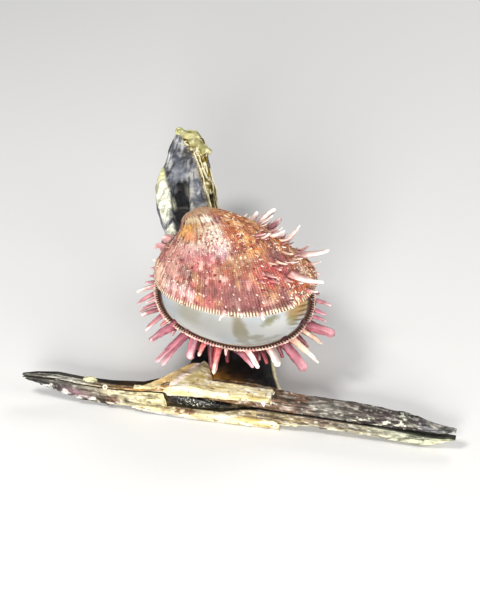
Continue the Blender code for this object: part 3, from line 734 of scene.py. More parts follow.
@dataclass
class SpinyValve:
    """One valve of the spiny oyster.

    The outside is a spiral: the margin shrinks by the growth and turns about the hinge by minus the logarithm
    of the growth over the opening. The inside is a smooth hollow below a rim.
    """

    name: str
    node: str
    slot: str
    side: int
    opening: float
    depth: float
    spines: tuple[Spine, ...]
    outline: tuple[tuple[float, float], ...] = (
        (-14.0, -1.0), (-19.0, -7.0), (-24.5, -17.0), (-29.5, -30.0), (-31.0, -44.0), (-27.0, -57.0),
        (-16.5, -68.5), (-1.5, -77.0), (14.0, -79.0), (29.0, -73.5), (39.5, -61.0), (43.0, -46.0),
        (39.0, -30.0), (29.0, -17.0), (20.0, -7.0), (15.0, -1.0),
    )
    middle: tuple[float, float] = (5.0, -42.0)
    hollow_middle: tuple[float, float] = (3.0, -33.0)
    hinge: tuple[float, float, float] = (-29.5, 80.0, 52.5)
    yaw: float = 20.5
    pitch: float = 14.0
    gape: float = 14.2
    clearance: float = 0.6
    umbo_turn: float = 140.0
    umbo_lean: float = 0.0
    lean_growth: float = 0.2
    lean_spread: float = 0.22
    rim: float = 3.0
    hinge_plate: float = 9.0
    columns: int = 640
    outer_rows: int = 96
    rim_rows: int = 10
    inner_rows: int = 24
    ribs: int = 160
    teeth: int = 160
    rib_height: float = 0.13
    lump_height: float = 0.4
    seed: int = 5

    def margin(self, bearing: Array) -> Array:
        """The margin at each bearing from the front edge, seen from the middle of the valve."""
        fixed = np.array(self.outline)
        curve = cubic(fixed, np.linspace(0.0, len(fixed), 2000, endpoint=False), True)
        spoke = curve - np.array(self.middle)
        bearings = np.degrees(np.arctan2(spoke[:, 0], -spoke[:, 1]))
        order = np.argsort(bearings)
        radius = np.interp(bearing, bearings[order], np.hypot(*spoke.T)[order], period=360.0)
        angle = np.radians(bearing)
        spoke = np.stack([radius * np.sin(angle), -radius * np.cos(angle)], axis=-1)
        return np.array(self.middle) + spoke

    def outside(self, bearing: Array, growth: Array) -> Array:
        """Points of the outside: the margin shrunk by growth and turned about the hinge."""
        turn = -np.log(growth) / self.opening
        lean = self.umbo_lean * np.exp(-(((growth - self.lean_growth) / self.lean_spread) ** 2))
        flat = self.margin(bearing) * growth[..., None]
        reach = flat[..., 1]
        rise = -self.side * reach * np.sin(turn)
        return np.stack([flat[..., 0] + lean, reach * np.cos(turn), rise], axis=-1)

    def inside(self, bearing: Array, share: Array) -> Array:
        """Points of the inside: share is 1 at the rim's inner edge and 0 at the deepest place."""
        middle = np.array(self.hollow_middle)
        spoke = self.margin(bearing) - middle
        length = np.linalg.norm(spoke, axis=-1)
        towards_hinge = np.clip(spoke[..., 1] / length, 0.0, 1.0)
        inset = self.rim + (self.hinge_plate - self.rim) * towards_hinge
        flat = middle + spoke * (share * (1.0 - inset / length))[..., None]
        hollow = self.side * self.depth * (1.0 - share**2) ** 0.9
        return np.concatenate([flat, hollow[..., None]], axis=-1)

    def placed(self, points: Array) -> Array:
        """Carries points from the valve's own plane to the drawing frame."""
        matrix = turned(2, self.yaw) @ turned(0, self.pitch)
        if self.side > 0:
            matrix = matrix @ turned(0, -self.gape)
            points = points + np.array([0.0, 0.0, self.clearance])
        return points @ matrix.T + np.array(self.hinge)

    def growth_rows(self, count: int, crowding: float) -> Array:
        """Growth from the umbo to the margin, row by row; a crowding above 1 sets the first rows closer."""
        first = math.exp(-self.opening * math.radians(self.umbo_turn))
        return first + (1.0 - first) * np.linspace(0.0, 1.0, count) ** crowding

    def ridge(self, bearing: Array) -> Array:
        """The fine teeth of the margin: 1 on top of a tooth and 0 between two."""
        return 0.5 + 0.5 * np.cos(np.radians(bearing) * self.teeth)

    def relief(self, points: Array, bearing: Array, growth: Array) -> Array:
        """How far the outside stands out: ribs, growth ledges, lumps and grain, in millimetres."""
        rib = np.cos(np.radians(bearing) * self.ribs)
        wide = np.cos(np.radians(bearing) * self.ribs / 4.0)
        height = self.rib_height * growth * (rib + 1.1 * np.clip(wide, 0.0, 1.0) ** 2)
        waver = 0.35 * noise(sheet(bearing / 14.0, growth * 4.0), 1.0, self.seed)
        ledge = (growth * 22.0 + waver) % 1.0
        height += 0.22 * growth * (ledge**3 - 0.25)
        height += self.lump_height * rough(points, 9.0, 3, self.seed + 1)
        height += 0.22 * rough(points, 2.0, 3, self.seed + 2)
        return height

    def crust(self, bearing: Array, growth: Array) -> Array:
        """How strongly each point of the outside is overgrown with rough crust, from 0 to 1."""
        return np.zeros_like(growth)

    def paint_outside(self, points: Array, bearing: Array, growth: Array) -> Array:
        """The outside's colours."""
        raise NotImplementedError

    def speck_outside(self, bearing: Array, growth: Array) -> Array:
        """How thickly pale, dark and rusty specks lie on the outside."""
        raise NotImplementedError

    def paint_rim(self, bearing: Array, across: Array) -> Array:
        """The rim's colours; across runs from 0 at the margin to 1 at the hollow."""
        raise NotImplementedError

    def paint_inside(self, points: Array, bearing: Array, share: Array) -> Array:
        """The hollow's colours."""
        raise NotImplementedError

    def blotched(self, colour: Array, blotches: tuple[Blotch, ...], bearing: Array, growth: Array) -> Array:
        """Lays patches of colour on the outside, with edges made ragged along the ribs by noise."""
        spot = sheet(bearing / 3.0, growth * 14.0)
        ragged = rough(spot, 1.0, 3, self.seed + 7)
        for blotch in blotches:
            away = np.hypot((bearing - blotch.bearing) / blotch.half_width,
                            (growth - blotch.growth) / blotch.half_height)
            share = blotch.strength * step(1.15, 0.55, away + blotch.ragged * ragged)
            colour = blend(colour, blotch.colour, share)
        return colour

    def spine_skin(self, skin: Skin, spine: Spine, number: int, rings: int = 18, sides: int = 14) -> None:
        """Adds one spine: a fluted tube whose heading turns by the curl on the way, round at the end.

        The radius is half the width, wider at the root by a falling exponential and narrowing to the tip's
        share, and it closes over the last part as a quarter of an ellipse.

        Args:
            skin: the mesh that the spine joins.
            spine: the spine.
            number: seeds its flutes and streaks.
            rings: how many rings it has.
            sides: how many points a ring has.
        """
        root = self.outside(np.array([float(spine.bearing)]), np.array([spine.growth]))[0]
        out_angle = math.radians(spine.bearing + spine.sweep)
        outward = np.array([math.sin(out_angle), -math.cos(out_angle), 0.0])
        upward = np.array([0.0, 0.0, float(self.side)])
        across = np.cross(outward, upward)
        share = np.linspace(0.0, 1.0, rings)
        bend = np.radians(spine.rise - 0.5 * spine.curl + spine.curl * share)[:, None]
        way = outward * np.cos(bend) + upward * np.sin(bend)
        centre = root - way[0] * spine.width * 0.25
        centre = centre + np.vstack([np.zeros(3), np.cumsum(0.5 * (way[1:] + way[:-1]), axis=0)]) * (
            spine.length / (rings - 1)
        )
        taper = 1.0 - (1.0 - spine.tip.value) * share**1.2
        flare = 1.0 + 0.4 * np.exp(-share / 0.07)
        close = 0.5 * spine.width * taper[-1] / spine.length
        end = np.clip((share - (1.0 - close)) / close, 0.0, 0.985)
        radius = 0.56 * spine.width * taper * flare * np.sqrt(1.0 - end**2)
        round_angle = circle(sides)
        flutes = 1.0 + 0.13 * np.cos(round_angle * 3.0 + number)
        flutes = flutes + 0.07 * np.cos(round_angle * 5.0 + 2.0 * number)
        lean = np.cross(way, across)
        ring = (np.cos(round_angle)[None, :, None] * 1.12 * across
                + np.sin(round_angle)[None, :, None] * 0.88 * lean[:, None, :])
        points = centre[:, None, :] + ring * (radius[:, None] * flutes)[..., None]
        knobs = rough(points, 1.1, 2, self.seed + number)
        points = points + ring * (0.11 * spine.width * knobs)[..., None]
        # The dark root and pale tip are partly the spine's own colour, partly painted shade at the root and
        # painted highlight at the tip.
        low, mid, high = (linear(code) for code in spine.colour.value)
        along = np.broadcast_to(share[:, None], knobs.shape)
        streak = noise(np.stack([np.broadcast_to(round_angle * 1.6, knobs.shape), along * 2.5,
                                 np.full(knobs.shape, number * 3.7)], axis=-1), 1.0, self.seed)
        colour = blend(low, mid, step(0.0, 0.45, along + 0.15 * streak))
        colour = blend(colour, high, step(0.55, 1.0, along + 0.2 * streak))
        colour = shaded(colour, 0.6 * streak)
        stain = rough(points + 7.0 * number, (1.6, 1.6, 1.6), 2, self.seed + 61)
        colour = blend(colour, low, 0.5 * step(0.15, 0.5, stain))
        skin.add_grid(self.placed(points), colour, np.array([0.45, 0.0, 0.5]), share)

    def spinelets(self) -> list[Spine]:
        """Small spines strewn over the outside; none unless a valve has them."""
        return []

    def build(self, offset: Array, material: bpy.types.Material) -> bpy.types.Object:
        """Makes the valve as one closed mesh.

        One grid runs from the umbo over the outside, round the rim and down to the bottom of the hollow. The
        spines are closed grids whose roots lie in the wall.

        Args:
            offset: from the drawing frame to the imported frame, in millimetres.
            material: the shell's finish.

        Returns:
            The valve's object.
        """
        skin = Skin(self.name)
        around = np.linspace(-180.0, 180.0, self.columns, endpoint=False)
        growth_rows = self.growth_rows(self.outer_rows, 1.25)
        bearing, growth = np.meshgrid(around, growth_rows)
        outer = self.outside(bearing, growth)
        normal = normals_of(outer)
        hinge_fade = step(168.0, 140.0, np.abs(bearing))
        edge_fade = step(1.0, 0.985, growth)
        height = self.relief(outer, bearing, growth) * (0.25 + 0.75 * hinge_fade) * edge_fade
        crust = self.crust(bearing, growth)
        height = height + crust * 0.7 * (rough(outer, 2.6, 3, self.seed + 3) + 0.25) * edge_fade
        outer_points = outer + normal * height[..., None]

        across_rows = np.linspace(0.0, 1.0, self.rim_rows + 1)[1:]
        bearing_rim, across = np.meshgrid(around, across_rows)
        edge = np.concatenate([self.margin(around), np.zeros((self.columns, 1))], axis=1)
        inner_edge = self.inside(around, np.ones(self.columns))
        rim_points = edge + (inner_edge - edge) * across[..., None]
        fade = step(165.0, 135.0, np.abs(around))
        ridge = self.ridge(around)
        tooth = ridge * fade
        outward = edge - inner_edge
        outward /= np.linalg.norm(outward, axis=1, keepdims=True)
        uneven = 0.6 + 0.6 * noise(sheet(around / 2.2, 0 * around), 1.0, self.seed + 9)
        push = 0.45 * tooth * uneven
        outer_points[-1] += outward * push[:, None]
        rim_points = rim_points + outward * (push * np.exp(-((across / 0.25) ** 2)))[..., None]
        bead = np.exp(-(((across - 0.22) / 0.2) ** 2)) * (0.25 + 0.75 * tooth)
        bead += 0.5 * np.exp(-(((across - 0.62) / 0.14) ** 2)) * ridge
        rim_points[..., 2] -= self.side * 0.5 * bead * fade

        share_rows = np.cos(np.linspace(0.0, 0.5 * math.pi, self.inner_rows + 1))[1:]
        share_rows = np.clip(share_rows, 0.03, 1.0)
        bearing_in, share = np.meshgrid(around, share_rows)
        inner_points = self.inside(bearing_in, share)
        inner_points[..., 2] += 0.12 * noise(inner_points, 7.0, self.seed + 4) * step(1.0, 0.85, share)

        points = self.placed(np.concatenate([outer_points, rim_points, inner_points]))
        paint = np.concatenate([
            self.paint_outside(outer, bearing, growth), self.paint_rim(bearing_rim, across),
            self.paint_inside(inner_points, bearing_in, share),
        ])
        finish = np.zeros_like(paint)
        outer_end = self.outer_rows
        rim_end = self.outer_rows + self.rim_rows
        finish[:outer_end] = (0.5, 1.0, 0.8)
        finish[outer_end:rim_end] = (0.45, 0.0, 0.5)
        finish[rim_end:, :, 0] = 0.16 + 0.3 * step(0.93, 1.0, share)
        finish[rim_end:, :, 2] = 0.06
        along = np.concatenate([growth_rows, 1.0 + 0.05 * across_rows, 1.05 + 0.5 * (1.0 - share_rows)])
        speck = np.zeros_like(paint)
        speck[:outer_end] = self.speck_outside(bearing, growth)
        skin.add_grid(points, paint, finish, along, speck=speck)
        for number, spine in enumerate(self.spines):
            self.spine_skin(skin, spine, number)
        for number, spine in enumerate(self.spinelets()):
            self.spine_skin(skin, spine, 100 + number, rings=7, sides=7)
        return finished(skin, offset, material, self.node)


@dataclass
class UpperValve(SpinyValve):
    """The domed upper valve: dusty rose, with a bleached umbo and a rusty crust on the right."""

    def crust(self, bearing: Array, growth: Array) -> Array:
        """The crust lies on the right, from the umbo to the margin."""
        spot = sheet(bearing / 8.0, growth * 6.0)
        right = step(-5.0, 30.0, bearing) * step(175.0, 120.0, bearing)
        high = step(0.80, 0.62, growth) + step(45.0, 75.0, bearing)
        return np.clip(right * high + 0.5 * noise(spot, 1.0, 3) * right, 0.0, 1.0)

    def bleached(self, bearing: Array, growth: Array) -> Array:
        """How far each point is bleached, below the umbo and in a patch by the left margin."""
        high = np.exp(-(((bearing + 18.0) / 24.0) ** 2) - ((growth - 0.58) / 0.10) ** 2)
        return high + 0.3 * np.exp(-(((bearing + 50.0) / 20.0) ** 2) - ((growth - 0.92) / 0.06) ** 2)

    def speck_outside(self, bearing: Array, growth: Array) -> Array:
        """Pale dashes on the bleached part, dark dots on the left, and all three on the crust."""
        crust = self.crust(bearing, growth)
        bleached = self.bleached(bearing, growth)
        umbo = step(0.5, 0.3, growth)
        dotted = np.exp(-(((bearing + 38.0) / 30.0) ** 2) - ((growth - 0.75) / 0.13) ** 2)
        right_edge = step(30.0, 45.0, bearing) * step(0.8, 0.9, growth)
        cloud = 0.5 + 0.9 * rough(sheet(bearing / 9.0, growth * 9.0), 1.0, 2, 28)
        pale = 0.12 + 0.25 * cloud + 0.75 * bleached + 0.55 * crust * cloud + 0.35 * right_edge
        dark = 0.18 + 0.75 * dotted + 0.5 * crust
        rust = 0.15 + 0.95 * crust + 0.4 * umbo + 0.5 * right_edge
        return np.clip(np.stack([pale, dark, rust], axis=-1), 0.0, 1.0)

    def paint_outside(self, points: Array, bearing: Array, growth: Array) -> Array:
        """Rose and mauve by noise, growth bands, uneven ribs, blotches, crust and a beaded margin."""
        colour = layered(linear("9C554F"), points, (
            ("7C4A48", 1.0, -0.3, 0.4, 12.0, 3, 21), ("582826", 0.75, 0.05, 0.5, 4.0, 3, 22),
        ))
        tan = rough(sheet(bearing / 7.0, growth * 16.0), 1.0, 3, 29)
        colour = blend(colour, "B08A5E", 0.55 * step(0.12, 0.45, tan))
        colour = blend(colour, "D8B6A4", 0.5 * step(0.15, 0.5, -tan))
        dust = rough(points, (2.4, 2.4, 2.4), 3, 33)
        colour = blend(colour, "E2CFB6", 0.55 * step(0.12, 0.42, dust) * step(0.95, 0.6, growth))
        colour = blend(colour, "6A3026", 0.4 * step(0.15, 0.45, -dust))
        band = noise(sheet(bearing / 50.0, growth * 30.0), 1.0, 23)
        colour = shaded(colour, 0.3 * band)
        colour = self.blotched(colour, self.blotches(), bearing, growth)
        rib = bearing / 360.0 * self.ribs
        lane = noise(sheet(rib, growth * 9.0), 1.0, 24)
        colour = shaded(colour, 0.2 * lane)
        shade = noise(sheet(rib * 0.7, growth * 26.0), 1.0, 25)
        colour = blend(colour, "5E2C2A", 0.5 * step(0.3, 0.7, -shade) * step(0.25, 0.5, growth))
        crust = self.crust(bearing, growth)
        grain = rough(points, 1.6, 2, 26)
        soft = rough(points, (5.0, 5.0, 5.0), 2, 30)
        colour = blend(colour, blend("9A4E2A", "B47A3C", step(-0.2, 0.3, soft)), crust * 0.65)
        colour = blend(colour, "DDB880", crust * 0.8 * step(0.05, 0.35, grain + 0.5 * soft))
        colour = blend(colour, "5A1812", crust * 0.85 * step(0.05, 0.3, -grain))
        near = step(0.972, 0.986, growth)
        above = step(0.945, 0.97, growth) * (1.0 - near) * step(-40.0, 5.0, bearing)
        colour = blend(colour, "4E2420", 0.8 * above)
        colour = blend(colour, "3E1C18", near * 0.85)
        return blend(colour, "E4CDAE", near * step(0.3, 0.75, self.ridge(bearing)))

    def blotches(self) -> tuple[Blotch, ...]:
        """The patches of colour, from the umbo to the margin."""
        return tuple(Blotch(*row) for row in (
            (-10, 0.26, 80, 0.13, "CBA47C", 0.85, 0.9), (-48, 0.47, 30, 0.10, "BE8A52", 0.8, 0.9),
            (-44, 0.40, 26, 0.05, "E6D0A6", 0.8, 0.9), (-64, 0.52, 18, 0.09, "D8A04C", 0.9, 1.0),
            (-48, 0.56, 20, 0.05, "CC8A5E", 0.95, 0.3), (-19, 0.41, 15, 0.045, "F2E4CC", 0.95, 0.8),
            (-24, 0.50, 22, 0.05, "D8C2A2", 0.6, 1.1), (-14, 0.57, 19, 0.07, "E6DACB", 0.6, 1.3),
            (-42, 0.64, 24, 0.05, "E2C4B2", 0.5, 1.3), (-13, 0.66, 13, 0.05, "BFA0AC", 0.45, 1.2),
            (-45, 0.70, 26, 0.06, "B47078", 0.45, 1.2), (14, 0.55, 18, 0.09, "A65A2C", 0.85, 0.8),
            (28, 0.50, 16, 0.10, "B7662E", 0.85, 0.8), (8, 0.62, 7, 0.04, "8E3A34", 0.8, 0.5),
            (25, 0.68, 12, 0.05, "C78A56", 0.9, 0.4), (0, 0.77, 26, 0.04, "93583A", 0.7, 1.1),
            (-75, 0.78, 20, 0.14, "C89484", 0.6, 0.9), (-58, 0.93, 17, 0.05, "DCBAB6", 0.5, 1.2),
            (-88, 0.93, 18, 0.06, "DDBFA4", 0.6, 1.0), (0, 0.90, 34, 0.06, "84504C", 0.75, 0.8),
            (32, 0.80, 20, 0.08, "A84648", 0.7, 0.8), (52, 0.90, 13, 0.06, "A2441E", 0.75, 0.9),
            (80, 0.90, 24, 0.10, "E5BFAE", 0.7, 0.8), (95, 0.70, 24, 0.16, "C98660", 0.6, 0.9),
            (120, 0.40, 40, 0.20, "A8704E", 0.7, 0.8),
        ))

    def paint_rim(self, bearing: Array, across: Array) -> Array:
        """Cream teeth with brown gaps outside, dark brown inside."""
        outer = blend("5A2C22", "F0DCC0", step(0.2, 0.7, self.ridge(bearing)))
        return blend(outer, "4A2A1E", step(0.35, 0.7, across))

    def paint_inside(self, points: Array, bearing: Array, share: Array) -> Array:
        """White porcelain with a brown border that the radial ridges break up."""
        white = blend("DEDCD2", "BFC2C2", step(0.0, 0.6, noise(points, 16.0, 6)))
        border = step(0.88, 0.97, share + 0.03 * np.cos(np.radians(bearing) * self.ribs))
        return blend(white, "6E5A34", 0.8 * border)

    def spinelets(self) -> list[Spine]:
        """Small scales and spines on the right half and behind, by a seeded draw."""
        draw = np.random.default_rng(17)
        colours = (CREAM, ROSE, SALMON, WHITE)
        found = list(SMALL_UPPER_SPINES)
        for number in range(90):
            bearing = draw.uniform(14.0, 150.0)
            growth = draw.uniform(0.42, 0.97) ** 0.8
            found.append(Spine(bearing, growth, draw.uniform(1.4, 3.6), draw.uniform(0.6, 1.2),
                               draw.uniform(5.0, 40.0), draw.uniform(-15.0, 10.0), colours[number % 4],
                               POINTED))
        for number in range(26):
            bearing = draw.uniform(-120.0, 14.0)
            growth = draw.uniform(0.7, 0.97)
            found.append(Spine(bearing, growth, draw.uniform(0.8, 1.6), draw.uniform(0.4, 0.7), 12.0, 0.0,
                               colours[number % 4], POINTED))
        return found


@dataclass
class LowerValve(SpinyValve):
    """The deep lower valve: pink and cream outside, porcelain inside, with a dark, beaded rim."""

    def paint_outside(self, points: Array, bearing: Array, growth: Array) -> Array:
        """Dull rose and dark red by noise, cream towards the left margin, and a beaded edge."""
        colour = layered(linear("A8545C"), points, (
            ("6C2A30", 1.0, -0.2, 0.5, 8.0, 3, 41), ("D9B59C", 0.6, 0.1, 0.5, 3.0, 3, 42),
        ))
        left = step(-50.0, -85.0, bearing) * step(0.75, 0.92, growth)
        colour = blend(colour, "E9D6B8", 0.85 * left)
        near = step(0.955, 0.98, growth)
        patch = noise(sheet(bearing / 2.6, growth * 30.0), 1.0, 46)
        colour = blend(colour, "54242A", near * 0.7)
        return blend(colour, "DDBFAE", near * step(-0.3, 0.4, patch + 0.5 * self.ridge(bearing)))

    def speck_outside(self, bearing: Array, growth: Array) -> Array:
        """Pale grains towards the margin and dark dots everywhere."""
        pale = 0.3 + 0.4 * step(0.8, 0.95, growth)
        return np.stack([pale, 0.2 + 0.0 * growth, 0.4 + 0.0 * bearing], axis=-1)

    def paint_rim(self, bearing: Array, across: Array) -> Array:
        """Cream and pink beads outside, a dark purple-brown band with fine ridges inside."""
        fine = self.ridge(bearing)
        patch = rough(sheet(bearing / 3.0, across * 2.0), 1.0, 3, 43)
        frill = blend("E2CDB4", "C47E80", step(-0.2, 0.3, patch))
        frill = blend(frill, "5A2226", 0.8 * step(0.1, 0.4, -patch))
        bead = blend("260C0E", "D8BCA0", step(0.5, 0.9, fine))
        colour = blend(frill, bead, step(0.16, 0.26, across))
        band = blend("22090C", "5E2C28", 0.6 * step(0.5, 0.9, fine))
        colour = blend(colour, band, step(0.44, 0.56, across))
        golden = step(0.74, 0.95, across) * step(120.0, 60.0, np.abs(bearing))
        return blend(colour, "7A4A22", 0.6 * golden)

    def paint_inside(self, points: Array, bearing: Array, share: Array) -> Array:
        """White porcelain, shaded blue-grey, with olive stains and a striped yellow-brown right end."""
        shade = step(-0.3, 0.6, noise(points, 15.0, 44))
        colour = blend("FBFBF8", "DFE7F0", shade)
        uneven = 0.35 * rough(points, 5.0, 3, 45)
        for row in (
            (7.3, -56.0, 3.6, 17.0, "A3935A", 0.7), (13.5, -62.0, 4.0, 3.0, "8E8152", 0.6),
            (17.0, -67.0, 8.0, 2.6, "A79B74", 0.6), (23.0, -49.5, 3.2, 2.6, "8C8A4C", 0.75),
            (20.0, -52.5, 4.0, 1.6, "A8A15E", 0.6), (35.5, -47.0, 6.5, 12.0, "B98F3C", 0.85),
            (31.0, -58.0, 2.4, 4.5, "A69A4C", 0.7), (9.0, -72.0, 22.0, 2.6, "C2AE80", 0.55),
            (-15.0, -40.0, 6.0, 12.0, "D6CFA8", 0.4),
        ):
            stain = Stain(*row)
            away = np.hypot((points[..., 0] - stain.x) / stain.half_x,
                            (points[..., 1] - stain.y) / stain.half_y)
            colour = blend(colour, stain.colour, stain.strength * step(1.25, 0.6, away + uneven))
        stripe = 0.5 + 0.5 * np.cos(np.radians(bearing) * 70.0 + 2.0 * uneven)
        right = step(38.0, 60.0, bearing) * step(118.0, 96.0, bearing) * step(0.83, 0.93, share)
        colour = blend(colour, "7A4E1E", right * 0.8 * step(0.45, 0.8, stripe))
        return blend(colour, "3A1A1A", step(0.965, 0.995, share))


@dataclass
class InnerLigament:
    """The small dark cushion between the spiny oyster's hinge plates."""

    node: str = "spiny_hinge_ligament"
    size: tuple[float, float, float] = (8.0, 4.6, 3.6)
    centre: tuple[float, float, float] = (0.0, -3.2, 0.3)
    lump: float = 0.12

    def build(self, offset: Array, material: bpy.types.Material, valve: SpinyValve) -> bpy.types.Object:
        """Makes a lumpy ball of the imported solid's size, in the lower valve's frame."""
        unit = globe(26, 40)
        ball = unit * np.array(self.size) * 0.5
        ball = ball - unit * (self.lump * (1.0 + noise(ball, 1.2, 8)))[..., None]
        skin = Skin("spiny_inner_ligament")
        skin.add_grid(valve.placed(ball + np.array(self.centre)), linear("1E1410"), np.array([0.5, 0.0, 1.0]))
        return finished(skin, offset, material, self.node)


# Hammer oyster's hinge bar, left tip to right tip:
# x, front y, back y, underside, top of the lower valve, underside of the upper valve, top
BAR = np.array([
    (-100, 0.0, 2.0, 10.6, 11.7, 12.4, 13.2),
    (-94, -1.0, 3.4, 8.9, 12.6, 13.1, 14.1),
    (-84, -1.0, 4.8, 6.0, 13.0, 13.4, 14.4),
    (-72, -1.0, 5.4, 2.6, 11.4, 11.8, 13.0),
    (-58, -1.0, 6.0, 1.8, 11.1, 11.5, 12.5),
    (-44, -1.2, 7.0, 2.8, 11.8, 12.2, 13.4),
    (-36, -1.2, 10.5, 2.0, 12.6, 13.0, 15.4),
    (-33, -1.0, 11.6, 1.2, 12.4, 12.9, 16.4),
    (-31.5, -0.8, 12.0, 0.9, 4.9, 12.5, 17.0),
    (-27, -0.4, 12.0, 0.6, 4.2, 12.4, 17.2),
    (-18, -0.2, 12.2, 0.6, 3.9, 11.6, 17.4),
    (-10, 0.0, 12.4, 0.6, 4.4, 10.9, 17.6),
    (2, 0.0, 12.4, 0.6, 8.0, 10.4, 17.4),
    (11, -0.6, 12.0, 0.8, 9.6, 10.2, 16.8),
    (20, -1.0, 11.0, 2.0, 9.7, 10.1, 16.0),
    (34, -1.0, 10.0, 4.0, 9.6, 10.0, 15.4),
    (50, -1.0, 10.0, 3.4, 9.1, 9.5, 15.0),
    (66, -1.0, 9.0, 2.8, 8.6, 9.0, 14.6),
    (74, -1.0, 8.5, 1.6, 8.0, 8.5, 13.4),
    (84, -1.0, 7.5, 1.2, 7.4, 8.2, 12.0),
    (93, -0.6, 5.2, 2.6, 7.1, 8.2, 10.6),
    (100, 0.0, 3.0, 5.6, 7.8, 8.6, 9.9),
], float)
FRONT, BACK, LOWER_BASE, LOWER_TOP, UPPER_BASE, UPPER_TOP = range(1, 7)

# Hammer oyster's body, hinge to tip: x, y, half width, underside, top of the lower valve, top
BODY_ROWS = np.array([
    (-8, 10, 30, 0.0, 9.6, 15.0),
    (-8, 31, 20, 0.0, 7.0, 15.0),
    (-13, 52, 19, 0.0, 9.0, 22.0),
    (-22, 72, 18, 0.0, 15.0, 37.0),
    (-34, 92, 16, 3.0, 23.0, 42.5),
    (-45, 111, 13.5, 18.0, 33.0, 43.5),
    (-52.5, 127, 14.5, 32.0, 42.5, 49.0),
    (-55, 142, 11.5, 43.0, 49.0, 55.0),
    (-57, 153, 9, 52.0, 55.0, 59.5),
    (-59, 159, 5, 58.0, 60.0, 62.5),
], float)
X, Y, HALF, BASE, PARTING, CREST, WAY_X, WAY_Y = range(8)


def bar_at(x: Array, column: int) -> Array:
    """Reads one column of the bar's table at any x."""
    return np.interp(x, BAR[:, 0], BAR[:, column])


def ring_through(corners: Array, per_edge: int, smooth: int) -> Array:
    """Points round closed outlines with rounded corners.

    Each edge is cut into equal steps, and each point is then averaged with its two neighbours some times.

    Args:
        corners: stations by corners by 3.
        per_edge: points for each edge.
        smooth: how often the points are averaged.

    Returns:
        Stations by points by 3.
    """
    share = np.arange(per_edge) / per_edge
    after = np.roll(corners, -1, axis=1)
    ring = corners[:, :, None, :] + (after - corners)[:, :, None, :] * share[None, None, :, None]
    ring = ring.reshape(len(corners), -1, 3)
    for _ in range(smooth):
        ring = 0.5 * ring + 0.25 * (np.roll(ring, 1, axis=1) + np.roll(ring, -1, axis=1))
    return ring


